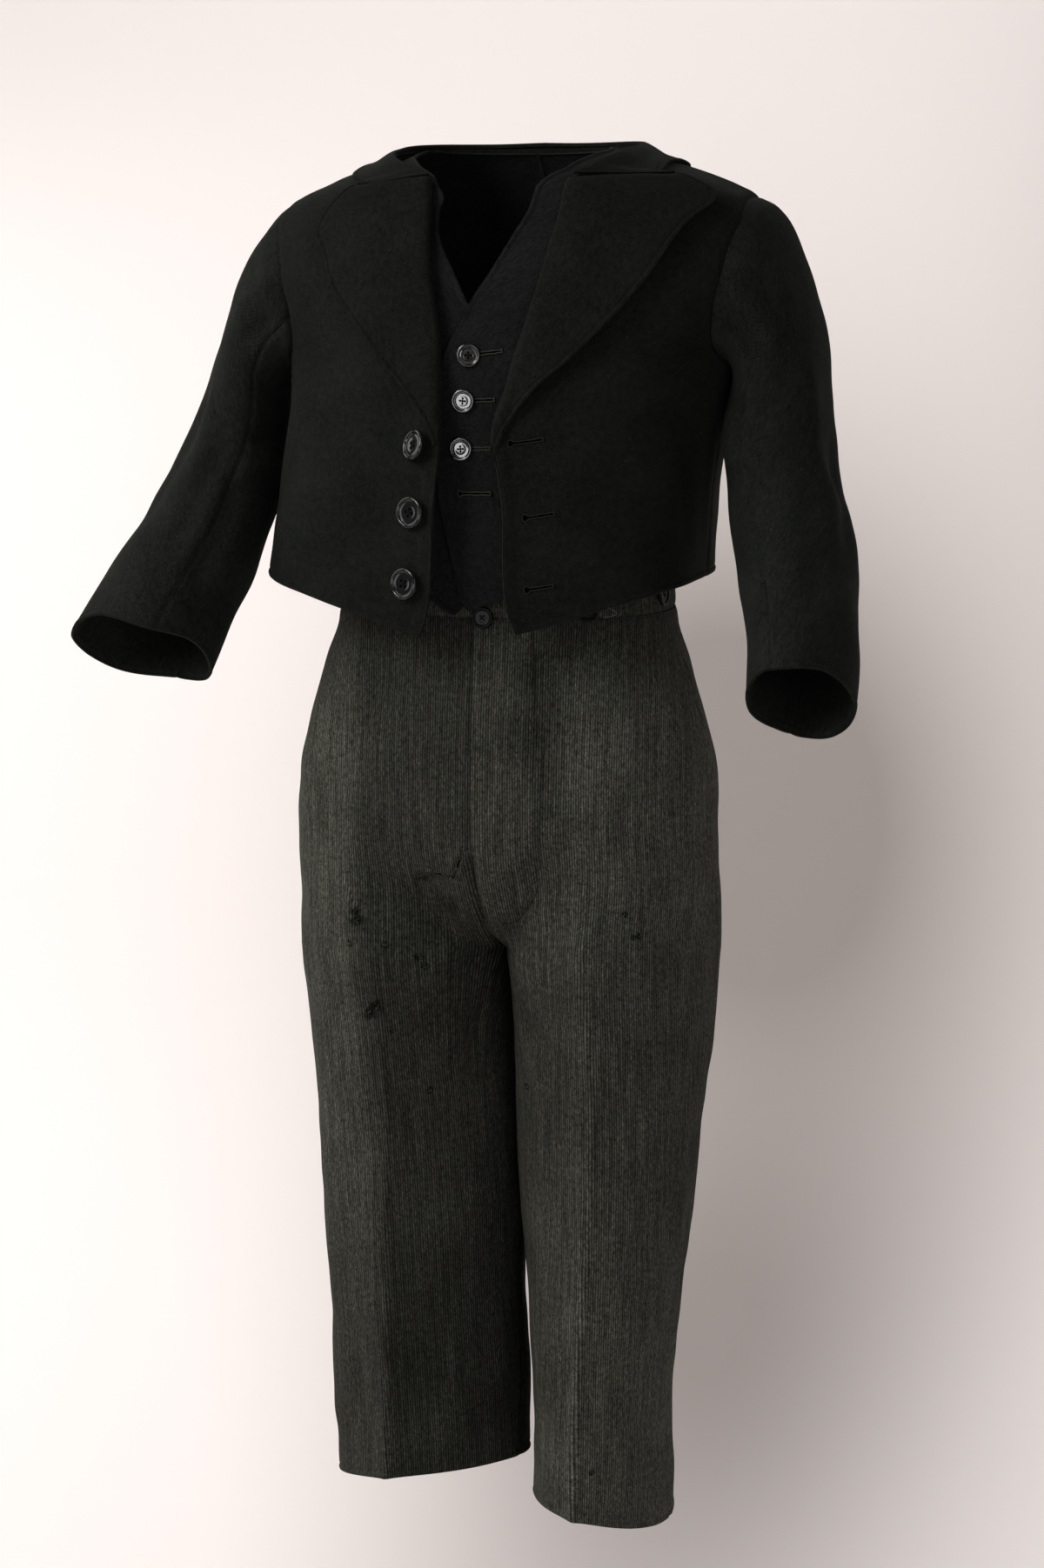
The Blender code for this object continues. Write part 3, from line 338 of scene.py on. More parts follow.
def front_edge(rows, break_height):
    """Up a front's inner edge: v 0 to 0.5 below the break, then even steps to the neck point."""
    low = rows["height"][0]
    heights = np.linspace(break_height, rows["height"][-1], 400)
    run = even_run(curve(rows, "angle", heights), heights)

    def at(v):
        above = np.interp(2 * v - 1, run, heights)
        height = np.where(v < 0.5, low + (break_height - low) * 2 * v, above)
        return pair(curve(rows, "angle", height), height)
    return at


def neck_behind(angle, neck, back):
    """Height of the back neckline."""
    return neck + (back - neck) * smooth((angle - 90) / 90)


def back_edge(hem_height, middle, neck, back):
    """Up the centre back, v 0 to 0.5 below the middle, then on round the neckline."""
    turns = np.linspace(180, 90, 61)
    rise = np.linspace(middle, back, 60)
    angles = np.concatenate([np.full(60, 180.0), turns])
    heights = np.concatenate([rise, neck_behind(turns, neck, back)])
    run = even_run(angles, heights)

    def at(v):
        above = pair(np.interp(2 * v - 1, run, angles), np.interp(2 * v - 1, run, heights))
        below = pair(180.0, hem_height + (middle - hem_height) * 2 * v)
        return np.where((v < 0.5)[..., None], below, above)
    return at


def overlap_lift(angle):
    """The waistcoat's left front rides over the right one near the centre."""
    return VEST_LAP * (1 - smooth((angle - 14) / 14))



def sleeve_ring(side, turn, along):
    """Points on the plain sleeve tube: turn 0 is its outer line, 90 its front."""
    rows = SLEEVE[side]

    def place(name):
        return curve(rows, name, along)
    zero = np.zeros_like(along)
    outer = np.stack([side * place("outer_x"), zero, place("outer_z")], -1)
    inner = np.stack([side * place("inner_x"), zero, place("inner_z")], -1)
    across = (outer - inner) / 2
    lean = np.radians(place("forward"))[..., None]
    down = unit(np.cross([0.0, float(side), 0.0], across))
    front = np.array([0.0, -1.0, 0.0]) * np.cos(lean) - down * np.sin(lean)
    centre = (outer + inner) / 2 + place("y")[..., None] * np.array([0.0, 1.0, 0.0])
    angle = np.radians(turn)[..., None]
    return leaned(centre + across * np.cos(angle) + place("half_depth")[..., None] * np.sin(angle) * front)


def sleeve(side, turn, along):
    """Points on the sleeve, which starts on the armhole."""
    turn, along = np.broadcast_arrays(turn, along)
    angle, height = armhole(JACKET_ARMHOLE, turn)
    loop = torso(JACKET, side * angle, height)
    start = sleeve_ring(side, turn, 0 * along)
    fade = (1 - smooth(along / CAP))[..., None]
    return sleeve_ring(side, turn, along) + (loop - start) * fade


def collar_lines(side, t):
    """Neck seam, outer edge and stand of half the collar; t runs from the gorge to the back."""
    rows, edge = COLLAR[side], JACKET_EDGE[side]
    gorge = curve(edge, "angle", -0.0045)
    seam_angle = gorge + (180 - gorge) * t
    neckline = np.interp(seam_angle, edge["angle"][-5:], edge["height"][-5:])
    behind = neck_behind(seam_angle, JACKET_NECK, JACKET_NECK_BACK)
    seam_height = np.where(seam_angle < 90, neckline, behind)
    return (side * seam_angle, seam_height, side * curve(rows, "edge_angle", t),
            curve(rows, "edge_height", t), curve(rows, "stand", t) * MM)


def collar_run(count):
    """The collar's lines from the right gorge round the back to the left gorge."""
    t = np.linspace(0, 1, count)
    right, left = collar_lines(RIGHT, t), collar_lines(LEFT, t[::-1])
    runs = [np.concatenate([r, l[1:]]) for r, l in zip(right, left)]
    for k in (0, 2):
        runs[k] = np.where(runs[k] < -179.9, 180.0, runs[k])
    return runs


def lifted(angle, height, lift, upright):
    """Points off the jacket's form; upright 1 lifts them straight up, 0 along the form's normal."""
    out = torso_facing(JACKET, angle, height)
    upright = np.asarray(upright)[..., None]
    way = unit(out * (1 - upright) + np.array([0.0, 0.0, 1.0]) * upright)
    return torso(JACKET, angle, height) + lift[..., None] * way


def grid_facing(grid):
    return unit(np.cross(np.gradient(grid, axis=0), np.gradient(grid, axis=1)))


def leg_ring(side, turn, height):
    """Points round a leg: turn 0 is the inseam, 90 the front crease, 180 the outseam."""
    rows = LEGS[side]
    half, deep = curve(rows, "half_width", height), curve(rows, "half_depth", height)
    angle = np.radians(turn)
    sharp = (np.exp(-np.abs(turn - 90) / PRESS["width"]) + np.exp(-np.abs(turn - 270) / PRESS["width"]))
    x = -side * half * np.cos(angle)
    y = -(deep + PRESS["height"] * sharp) * np.sin(angle)
    twist = np.radians(curve(rows, "turn", height))
    centre = curve(rows, "inner", height) + side * half * np.cos(twist)
    return np.stack(np.broadcast_arrays(centre + x * np.cos(twist) - y * np.sin(twist),
                                        LEG_CENTRE_Y + x * np.sin(twist) + y * np.cos(twist), height), -1)


def trouser(side, c, height):
    """Points on one trouser half: c is 0 at the centre front, 1 at the side, 2 at the back.

    Below the crotch the same c runs from the inseam round the leg.
    """
    c, height = np.broadcast_arrays(c, height)
    hips = torso(TROUSERS, side * 90 * c, height)
    leg = leg_ring(side, 180 * c, np.minimum(height, CROTCH))
    leg = np.concatenate([leg[..., :2], height[..., None]], -1)
    down = np.clip((RISE_TOP - height) / (RISE_TOP - CROTCH), 0, 1)
    round_seam = 1 - np.sqrt(np.maximum(1 - down**2, 0))
    near = 1 - smooth(np.minimum(c, 2 - c) / FORK_REACH)
    blend = (near * round_seam + (1 - near) * smooth(down))[..., None]
    return hips * (1 - blend) + leg * blend


def trouser_facing(side, c, height):
    """Outward normals, kept in the centre plane along the centre seam."""
    def surface(a, h):
        return trouser(side, a, h)
    inside = np.clip(c, 0.02, 1.98)
    steady = np.where(np.abs(height - CROTCH) < 2 * MM, CROTCH - 2.5 * MM, height)
    normals = side * facing(surface, inside, steady, 0.01, 0.5 * MM)
    seam = (c < 0.01) | (c > 1.99)
    hips = seam & (height > CROTCH + 0.1 * MM)
    back_or_front = np.where(c > 1, 1.0, -1.0)
    down = np.clip((RISE_TOP - height) / (RISE_TOP - CROTCH), 0, 1)
    centre = np.stack(np.broadcast_arrays(0.0, back_or_front * np.sqrt(1 - down**2), -down), -1)
    normals = np.where(hips[..., None], centre, normals)
    fork = seam & (np.abs(height - CROTCH) <= 0.1 * MM)
    normals = np.where(fork[..., None], np.array([0.0, 0.0, -1.0]), normals)
    leg = seam & (height < CROTCH - 0.1 * MM)
    return np.where(leg[..., None], np.array([-side, 0.0, 0.0]), normals)


# ---------------------------------------------------------------- fine grids
EDGE_STEPS = np.array([0, 0.6, 1.4, 2.3, 3.0, 3.7, 4.8, 6.5]) * MM


def steps(count, width):
    """0 to 1 in even steps with finer ones by both ends, for a panel of that width."""
    edge = EDGE_STEPS / width
    count = max(int(count * FINE), 8)
    middle = np.linspace(edge[-1], 1 - edge[-1], count)
    return np.concatenate([edge[:-1], middle, 1 - edge[-2::-1]])


def edge_distances(grid):
    """Distance along the cloth from each of a grid's edges: first, last of each direction."""
    found = []
    for axis in (0, 1):
        hop = np.linalg.norm(np.diff(grid, axis=axis), axis=-1)
        start = np.zeros_like(np.take(hop, [0], axis=axis))
        run = np.concatenate([start, np.cumsum(hop, axis=axis)], axis=axis)
        found += [run, np.take(run, [-1], axis=axis) - run]
    return found


def edge_shape(distance, kind):
    """How far the cloth stands out near an edge."""
    d = distance / MM
    if kind == "seam":
        return MM * (0.25 * np.exp(-((d - 6) / 3) ** 2) - 0.7 * np.exp(-(d / 1.7) ** 2))
    if kind == "turned":
        return MM * (0.45 * np.exp(-((d - 1.5) / 1.2) ** 2) - 0.45 * np.exp(-((d - 3.4) / 0.7) ** 2))
    if kind == "head":
        return MM * (1.3 * np.exp(-((d - 11) / 7) ** 2) - 0.9 * np.exp(-(d / 1.8) ** 2))
    return 0 * d


def lumps(points, size, amount, seed):
    """Slow unevenness all over a garment."""
    chance = np.random.default_rng(seed)
    waves = chance.normal(size=(9, 3))
    waves = waves / np.linalg.norm(waves, axis=1, keepdims=True) * 2 * math.pi / size
    waves *= chance.uniform(0.6, 1.5, (9, 1))
    phase = chance.uniform(0, 6.28, 9)
    return amount * np.sin(points @ waves.T + phase).sum(-1) / 3


def line_distance(points, line):
    """Nearest distance to a line of points, and how far along it, 0 to 1."""
    best = np.full(points.shape[:-1], 9.0)
    along = np.zeros(points.shape[:-1])
    count = len(line) - 1
    for k in range(count):
        a, b = line[k], line[k + 1]
        ab = b - a
        t = np.clip((points - a) @ ab / max(ab @ ab, 1e-12), 0, 1)
        d = np.linalg.norm(points - a - t[..., None] * ab, axis=-1)
        near = d < best
        best = np.where(near, d, best)
        along = np.where(near, (k + t) / count, along)
    return best, along


FOLD = "u0 v0 u1 v1 bow width depth"


def folds(points, surface, rows):
    """Soft troughs and ridges between two places each; width and depth in millimetres."""
    total = np.zeros(points.shape[:-1])
    t = np.linspace(0, 1, 15)
    for u0, v0, u1, v1, bow, width, depth in zip(*rows.values()):
        u = u0 + (u1 - u0) * t + bow * 4 * t * (1 - t)
        line = surface(u, v0 + (v1 - v0) * t)
        distance, along = line_distance(points, line)
        ends = smooth(along / 0.3) * smooth((1 - along) / 0.3)
        total += depth * MM * ends * np.exp(-(distance / (width * MM)) ** 2)
    return total


# ---------------------------------------------------------------- meshes
def mesh_object(name, vertices, faces, material, uv=None):
    mesh = bpy.data.meshes.new(name)
    mesh.from_pydata(np.asarray(vertices, float).tolist(), [], faces)
    mesh.polygons.foreach_set("use_smooth", [True] * len(mesh.polygons))
    if uv is not None:
        layer = mesh.uv_layers.new(name="grain")
        corner = np.empty(len(mesh.loops), int)
        mesh.loops.foreach_get("vertex_index", corner)
        layer.data.foreach_set("uv", np.asarray(uv)[corner].astype(np.float32).ravel())
    mesh.materials.append(material)
    made = bpy.data.objects.new(name, mesh)
    bpy.context.scene.collection.objects.link(made)
    return made


def grid_faces(cell, flip=False):
    a, b, c, d = cell[:-1, :-1], cell[1:, :-1], cell[1:, 1:], cell[:-1, 1:]
    order = (a, d, c, b) if flip else (a, b, c, d)
    return np.stack(order, -1).reshape(-1, 4).tolist()


def rim_cells(cell):
    return np.concatenate([cell[:, 0], cell[-1, 1:], cell[-2::-1, -1], cell[0, -2:0:-1]])


def shell(name, grid, out, thickness, material, uv):
    """A thin closed shell: the grid, a copy inside it, and a rounded rim between them."""
    rows, columns = grid.shape[:2]
    count = rows * columns
    cell = np.arange(count).reshape(rows, columns)
    inner = grid - thickness * out
    inward = np.zeros_like(grid)
    inward[0] += unit(grid[1] - grid[0])
    inward[-1] += unit(grid[-2] - grid[-1])
    inward[:, 0] += unit(grid[:, 1] - grid[:, 0])
    inward[:, -1] += unit(grid[:, -2] - grid[:, -1])
    rim = rim_cells(cell)
    edge = (grid + inner).reshape(-1, 3)[rim] / 2 - 0.45 * thickness * unit(inward.reshape(-1, 3)[rim])
    vertices = np.concatenate([grid.reshape(-1, 3), inner.reshape(-1, 3), edge])
    uvs = np.concatenate([uv.reshape(-1, 2), uv.reshape(-1, 2), uv.reshape(-1, 2)[rim]])
    flip = (np.cross(grid[1:, 1:] - grid[:-1, :-1], grid[:-1, 1:] - grid[1:, :-1])
            * (out[1:, 1:] + out[:-1, :-1])).sum() < 0
    faces = grid_faces(cell, flip) + grid_faces(cell + count, not flip)
    n = np.roll(np.arange(len(rim)), -1)
    mid = np.arange(len(rim)) + 2 * count
    for a, b in ((rim, mid), (mid, rim + count)):
        quads = np.stack([a, b, b[n], a[n]], -1)
        faces += (quads[:, ::-1] if not flip else quads).tolist()
    return mesh_object(name, vertices, faces, material, uvs)


def cloth(name, node, grid, out, thickness, material, edges, relief=0.0,
          origin=0.5, uv=None):
    """A cloth piece on its form, with shaped edges; relief is how far each point stands out."""
    distances = edge_distances(grid)
    shape = sum(edge_shape(d, kind) for d, kind in zip(distances, edges))
    if uv is None:
        across = distances[0] - np.take(distances[0], [int(origin * (grid.shape[0] - 1))], axis=0)
        uv = np.stack([across, distances[2]], -1)
    moved = grid + (shape + relief)[..., None] * out
    made = shell(name, moved, out, thickness, material, uv)
    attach(made, "root")
    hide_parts(node)
    return moved, uv, distances


# ---------------------------------------------------------------- jacket
JACKET_FOLDS = table(
    FOLD,
    # across the chest under the lapels and down to the hem, wearer's left positive
    (30, -0.150, 78, -0.128, 0, 7, 0.9), (26, -0.175, 70, -0.168, 3, 8, -0.7),
    (36, -0.226, 80, -0.204, 0, 10, 0.8), (20, -0.200, 52, -0.222, 0, 9, -0.6),
    (64, -0.130, 76, -0.240, -3, 7, -1.1), (84, -0.135, 88, -0.243, 0, 6, 0.9),
    (-30, -0.160, -76, -0.132, 0, 7, 0.9), (-24, -0.190, -66, -0.176, 3, 8, -0.7),
    (-32, -0.236, -78, -0.212, 0, 9, 0.8), (-62, -0.134, -74, -0.246, 3, 7, -1.1),
    (-82, -0.130, -88, -0.240, 0, 6, 0.9), (-48, -0.205, -60, -0.258, 0, 8, -0.6),
    (176, -0.060, 130, -0.105, 0, 9, 0.9), (-174, -0.070, -134, -0.112, 0, 10, -0.8),
    (150, -0.125, 118, -0.150, 0, 8, -0.9), (-150, -0.135, -116, -0.158, 0, 8, 0.9),
    (168, -0.165, 166, -0.240, 0, 8, 0.9), (140, -0.172, 146, -0.240, 0, 10, -0.8),
    (-146, -0.168, -150, -0.240, 0, 9, 0.9), (-120, -0.150, -112, -0.236, 0, 8, -1.0),
    (112, -0.140, 104, -0.240, 0, 7, 1.0), (130, -0.030, 170, -0.020, 0, 8, -0.6),
    (-136, -0.026, -168, -0.018, 0, 8, -0.6))
ARM_STEPS = 1 - np.linspace(0, 180, max(int(84 * FINE), 24))[::-1] / 360


def panel_rows(count, length):
    edge = EDGE_STEPS / length / 2
    low = np.linspace(edge[-1], 0.5, max(int(count * FINE), 8))
    arm = ARM_STEPS[1:]
    high = np.concatenate([arm[arm < 1 - edge[-1]], 1 - edge[-2::-1]])
    return np.concatenate([edge[:-1], low, high])


def garment_relief(form, points, rows, seed, amount=1.0):
    slow = lumps(points, 0.085, 0.55 * MM * amount, seed) + lumps(points, 0.030, 0.16 * MM * amount, seed + 1)
    return slow + 1.5 * folds(points, lambda a, h: torso(form, a, h), rows)


# How far each open front curls out beside its edge, and how far in from the edge that reaches.
CURL = {LEFT: table("height curl reach", (-0.285, 3.4, 8), (-0.200, 4.0, 8), (-0.168, 5.2, 10),
                    (-0.152, 4.0, 11), (-0.130, 0.4, 9)),
        RIGHT: table("height curl reach", (-0.285, 5.6, 19), (-0.200, 5.8, 19), (-0.165, 5.6, 18),
                     (-0.150, 3.0, 16), (-0.130, 0.4, 12))}
DEGREE = 2.6 * MM               # cloth to a degree round the chest


def front_curl(side, angle, height):
    beside = np.maximum(angle - curve(JACKET_EDGE[side], "angle", height), 0) * DEGREE
    reach = curve(CURL[side], "reach", height) * MM
    curl = curve(CURL[side], "curl", height) * MM
    lip = 0.22 * curl * np.exp(-((beside - 7.5 * MM) / (2.2 * MM)) ** 2)
    return (curl * np.exp(-(beside / reach) ** 2) - lip) * (angle < 60)


def jacket_place(angle, height, off=0.0):
    """Points on the outside of the jacket's front as it hangs."""
    side = LEFT if np.mean(angle) > 0 else RIGHT
    points = torso(JACKET, angle, height)
    relief = garment_relief(JACKET, points, JACKET_FOLDS, 11) + front_curl(side, side * angle, height)
    return points + (relief + off)[..., None] * torso_facing(JACKET, angle, height)


def vest_place(angle, height, off=0.0):
    return torso(VEST, angle, height) + (VEST_LAP + off) * torso_facing(VEST, angle, height)


def jacket_panels(wool):
    u = steps(46, 0.15)
    v = panel_rows(44, 0.15)
    for side, word in SIDES:
        def hem(angle):
            return curve(JACKET_HEM[side], "height", angle)
        inner_edges = (("front", front_edge(JACKET_EDGE[side], -0.155), "turned", (0.185, 0.33), 0.0450),
                       ("back", back_edge(hem(180.0), -0.150, JACKET_NECK, JACKET_NECK_BACK), "seam",
                        (0.175, 0.29), 0.0475))
        for part, edge, kind, cut, area in inner_edges:
            grid = body_panel(JACKET, JACKET_ARMHOLE, edge, hem, JACKET_NECK, u, v)
            angle, height = side * grid[..., 0], grid[..., 1]
            out = torso_facing(JACKET, angle, height)
            points = torso(JACKET, angle, height)
            relief = garment_relief(JACKET, points, JACKET_FOLDS, 11)
            if part == "front":
                relief = relief + front_curl(side, grid[..., 0], height)
            cloth("jacket_%s_%s_cloth" % (part, word), "jacket_%s_%s" % (part, word), points, out,
                  JACKET_CLOTH, wool, (kind, "seam", "turned", "seam"),
                  relief, origin=0)


SLEEVE_FOLDS = {
    LEFT: table(
        FOLD, (95, 0.02, 70, 0.30, 0, 7, 1.2), (118, 0.05, 96, 0.34, 0, 6, -1.6),
        (80, 0.03, 48, 0.26, 0, 8, -1.0), (150, 0.30, 96, 0.44, 0, 6, -1.3),
        (160, 0.42, 104, 0.56, 0, 6, 1.2), (150, 0.54, 92, 0.62, 0, 6, -1.0),
        (0, 0.45, 20, 0.80, 0, 8, -1.2), (40, 0.30, 30, 0.72, 0, 10, 1.3),
        (60, 0.62, 62, 0.95, 0, 9, -0.9), (-30, 0.10, -70, 0.40, 0, 9, -1.2),
        (-60, 0.35, -50, 0.75, 0, 10, 1.2), (-100, 0.15, -110, 0.55, 0, 8, -1.2),
        (-150, 0.34, -100, 0.48, 0, 7, 1.2), (-90, 0.62, -86, 0.92, 0, 9, -0.9)),
    RIGHT: table(
        FOLD, (110, 0.03, 84, 0.28, 0, 7, -1.4), (84, 0.02, 60, 0.24, 0, 8, 1.1),
        (54, 0.40, 76, 0.80, 0, 9, 1.5), (118, 0.62, 122, 0.96, 0, 8, -1.7),
        (165, 0.40, 112, 0.52, 0, 6, -1.3), (168, 0.52, 110, 0.64, 0, 6, 1.2),
        (30, 0.38, 40, 0.86, 0, 9, -1.2), (8, 0.30, 10, 0.70, 0, 10, 1.0),
        (85, 0.55, 92, 0.92, 0, 7, -0.9), (-30, 0.12, -60, 0.45, 0, 9, -1.2),
        (-56, 0.40, -60, 0.82, 0, 10, 1.2), (-100, 0.10, -108, 0.50, 0, 8, -1.2),
        (-150, 0.40, -104, 0.55, 0, 7, 1.2), (-20, 0.60, -10, 0.94, 0, 8, -1.0))}


# The uneven cuff hems: how far each part slips down the arm, and how far it flares.
CUFF = {LEFT: table("turn slip flare", (0, 0.5, 0.8), (45, -2.5, -1.2), (95, 3.2, 2.2), (140, -1.8, -1.8),
                    (190, 2.2, 1.0), (240, -2.0, 1.6), (300, 1.8, -1.4), (360, 0.5, 0.8)),
        RIGHT: table("turn slip flare", (0, 2.5, 1.6), (50, -3.0, -1.6), (104, 3.6, 2.6), (150, -2.6, -1.8),
                     (205, 2.4, 1.4), (255, -1.6, -1.8), (310, 1.6, 1.8), (360, 2.5, 1.6))}


def sleeve_panels(wool):
    front_seam, back_seam = SLEEVE_SEAMS
    v = steps(96, 0.34)
    parts = (("top_sleeve", back_seam - 360, front_seam, 60, 0.215, (0.20, 0.36), 0.050),
             ("under_sleeve", front_seam, back_seam, 30, 0.09, (0.115, 0.30), 0.024))
    for side, word in SIDES:
        def surface(turn, along):
            return sleeve(side, turn % 360, along)
        for part, start, end, count, width, cut, area in parts:
            turn, along = np.meshgrid(start + (end - start) * steps(count, width), v, indexing="ij")
            points = surface(turn, along)
            out = side * facing(surface, turn, np.clip(along, 0.004, 0.996), 0.4, 0.003)
            out[:, 0] = unit(out[:, 0] + 0.8 * torso_facing(JACKET, *armhole_place(side, turn[:, 0])))
            relief = lumps(points, 0.07, 0.9 * MM, 21) + lumps(points, 0.028, 0.18 * MM, 22)
            relief += 2.1 * folds(points, surface, SLEEVE_FOLDS[side])
            relief *= smooth(along / 0.05)
            if side == LEFT:
                # the wearer's left sleeve rests against the body below the armpit
                relief += 5.5 * MM * np.exp(-((points[..., 2] + 0.148) / 0.026) ** 2) * smooth(-out[..., 0])
            low = smooth((along - 0.84) / 0.16)
            slip, flare = (curve(CUFF[side], name, turn % 360) for name in ("slip", "flare"))
            relief += flare * MM * low
            down = unit(surface(turn, np.full_like(turn, 0.99)) - surface(turn, np.full_like(turn, 0.90)))
            points = points + (slip * MM * low)[..., None] * down
            head = "head" if part == "top_sleeve" else "seam"
            cloth("%s_%s_cloth" % (part, word), "%s_%s" % (part, word), points, out, JACKET_CLOTH, wool,
                  ("seam", "seam", head, "turned"), relief)


def armhole_place(side, turn):
    angle, height = armhole(JACKET_ARMHOLE, turn % 360)
    return side * angle, height


# ---------------------------------------------------------------- lapels and collar
ROLL_TURNS = np.radians([180, 150, 120, 90, 60, 30])


def rolled(grid, out, radius):
    """Rows that carry a grid's first row over a soft roll and under itself."""
    away = unit(grid[0] - grid[1])
    rows, normals = [], []
    for turn in ROLL_TURNS:
        way = out[0] * math.cos(turn) + away * math.sin(turn)
        rows.append(grid[0] + radius * (way - out[0]))
        normals.append(way)
    return np.concatenate([np.array(rows), grid]), np.concatenate([np.array(normals), out])


def longer_lapel(side, roll, edge, middle_roll, middle_edge):
    """The lapel's table with its lower end drawn out along the front edge."""
    rows = {name: values.copy() for name, values in LAPEL[side].items()}
    names = list(rows)
    first = [0.0, roll[0], roll[1], edge[0], edge[1], 1.6]
    second = [0.07, middle_roll[0], middle_roll[1], middle_edge[0], middle_edge[1], 3.0]
    return {name: np.concatenate([[a, b], rows[name][1:]]) for name, a, b in zip(names, first, second)}


SCENE_LAPEL = {LEFT: longer_lapel(LEFT, (4.9, -0.1700), (5.2, -0.1745), (4.6, -0.1545), (7.4, -0.1530)),
               RIGHT: longer_lapel(RIGHT, (3.6, -0.1620), (4.0, -0.1665), (4.5, -0.1480), (7.6, -0.1490))}


def lapel_panels(wool):
    u = steps(22, 0.06)
    v = steps(90, 0.20)
    for side, word in SIDES:
        rows = SCENE_LAPEL[side]
        uu, vv = np.meshgrid(u, v, indexing="ij")
        angle = curve(rows, "roll_angle", vv) * (1 - uu) + curve(rows, "edge_angle", vv) * uu
        height = curve(rows, "roll_height", vv) * (1 - uu) + curve(rows, "edge_height", vv) * uu
        lift = (LAPEL_CLEAR + (curve(rows, "lift", vv) - 1.0) * MM * uu) * (0.15 + 0.85 * smooth(vv / 0.10))
        lift += 1.4 * MM * (uu / 0.2) * np.exp(1 - uu / 0.2) * smooth(vv / 0.2)
        lift += front_curl(side, angle, height)
        sewn = smooth((vv - 0.93) / 0.07) * (1 - smooth((uu - 0.60) / 0.25))
        height = height + 1.1 * MM * sewn
        out = torso_facing(JACKET, side * angle, height)
        points = torso(JACKET, side * angle, height) + lift[..., None] * out
        relief = lumps(points, 0.06, 0.35 * MM, 31) * smooth(uu / 0.2)
        moved = points + relief[..., None] * out
        full, normals = rolled(moved, out, 2.3 * MM)
        cloth("jacket_lapel_%s_cloth" % word, "jacket_lapel_%s" % word, full, normals, COLLAR_CLOTH, wool,
              ("none", "turned", "none", "seam"), 0.0,
              origin=0)


def collar_pieces(wool):
    count = max(int(60 * FINE), 20)
    seam_angle, seam_height, edge_angle, edge_height, stand = [r[:, None] for r in collar_run(count)]
    seam_angle, edge_angle = np.abs(seam_angle), np.abs(edge_angle)
    side = np.concatenate([-np.ones(count), np.ones(count - 1)])[:, None]
    from_end = 1 - np.abs(np.linspace(-1, 1, 2 * count - 1))[:, None]
    stand = stand * (1 - 0.52 * smooth((from_end - 0.12) / 0.30))
    drawn_in = 1 - 0.20 * smooth(from_end / 0.07) * smooth((0.50 - from_end) / 0.25)
    edge_angle = seam_angle + (edge_angle - seam_angle) * drawn_in
    edge_height = seam_height + (edge_height - seam_height) * drawn_in
    down = steps(16, 0.035)[None, :]
    angle = side * (seam_angle * (1 - down) + edge_angle * down)
    height = seam_height * (1 - down) + edge_height * down
    drop = smooth(down / 0.6)
    edge_lift = COLLAR_EDGE_LIFT - 2.9 * MM * smooth(from_end / 0.08)
    lift = edge_lift + (stand - edge_lift) * (1 - drop)
    fall = lifted(angle, height, lift, COLLAR_UPRIGHT * (1 - drop))
    out = grid_facing(fall)
    full, normals = rolled(fall.transpose(1, 0, 2), out.transpose(1, 0, 2), 1.6 * MM)
    cloth("jacket_collar_fall_cloth", "jacket_collar_fall", full, normals, COLLAR_CLOTH, wool,
          ("none", "turned", "seam", "seam"), 0.0)
    up = np.linspace(0, 1, 12)[None, :]
    low, high = 0.8 * MM, stand - COLLAR_WALL - 1.0 * MM
    angle, height = side * seam_angle + 0 * up, seam_height + 0 * up
    upright = lifted(angle, height, low + (high - low) * up, COLLAR_UPRIGHT + 0 * up)
    cloth("jacket_collar_stand_cloth", "jacket_collar_stand", upright, -grid_facing(upright), COLLAR_CLOTH,
          wool, ("none", "none", "none", "none"), 0.0)


# ---------------------------------------------------------------- waistcoat
VEST_FOLDS = table(
    FOLD,
    (-12, -0.200, 18, -0.222, 0, 6, -0.6), (-6, -0.168, 26, -0.184, 0, 7, 0.5),
    (-14, -0.180, -40, -0.195, 0, 7, -0.5), (10, -0.235, 30, -0.205, 0, 7, 0.5),
    (160, -0.080, 130, -0.110, 0, 8, 0.6), (-160, -0.100, -130, -0.120, 0, 8, -0.6))


def vest_panels(wool):
    u = steps(38, 0.13)
    v = panel_rows(40, 0.13)
    for side, word in SIDES:
        def hem(angle):
            return curve(VEST_HEM[side], "height", angle)
        parts = (("front", front_edge(VEST_EDGE[side], -0.165), "turned", (0.155, 0.31), 0.041),
                 ("back", back_edge(hem(180.0), -0.160, VEST_NECK, VEST_NECK_BACK), "seam",
                  (0.145, 0.30), 0.038))
        for part, edge, kind, cut, area in parts:
            grid = body_panel(VEST, VEST_ARMHOLE, edge, hem, VEST_NECK, u, v)
            angle, height = side * grid[..., 0], grid[..., 1]
            out = torso_facing(VEST, angle, height)
            points = torso(VEST, angle, height)
            relief = 0.5 * garment_relief(VEST, points, VEST_FOLDS, 41)
            if part == "front" and side == LEFT:
                relief = relief + overlap_lift(grid[..., 0])
            cloth("vest_%s_%s_cloth" % (part, word), "vest_%s_%s" % (part, word), points, out, THIN_CLOTH,
                  wool, (kind, "seam", "turned", "seam"),
                  relief, origin=0)


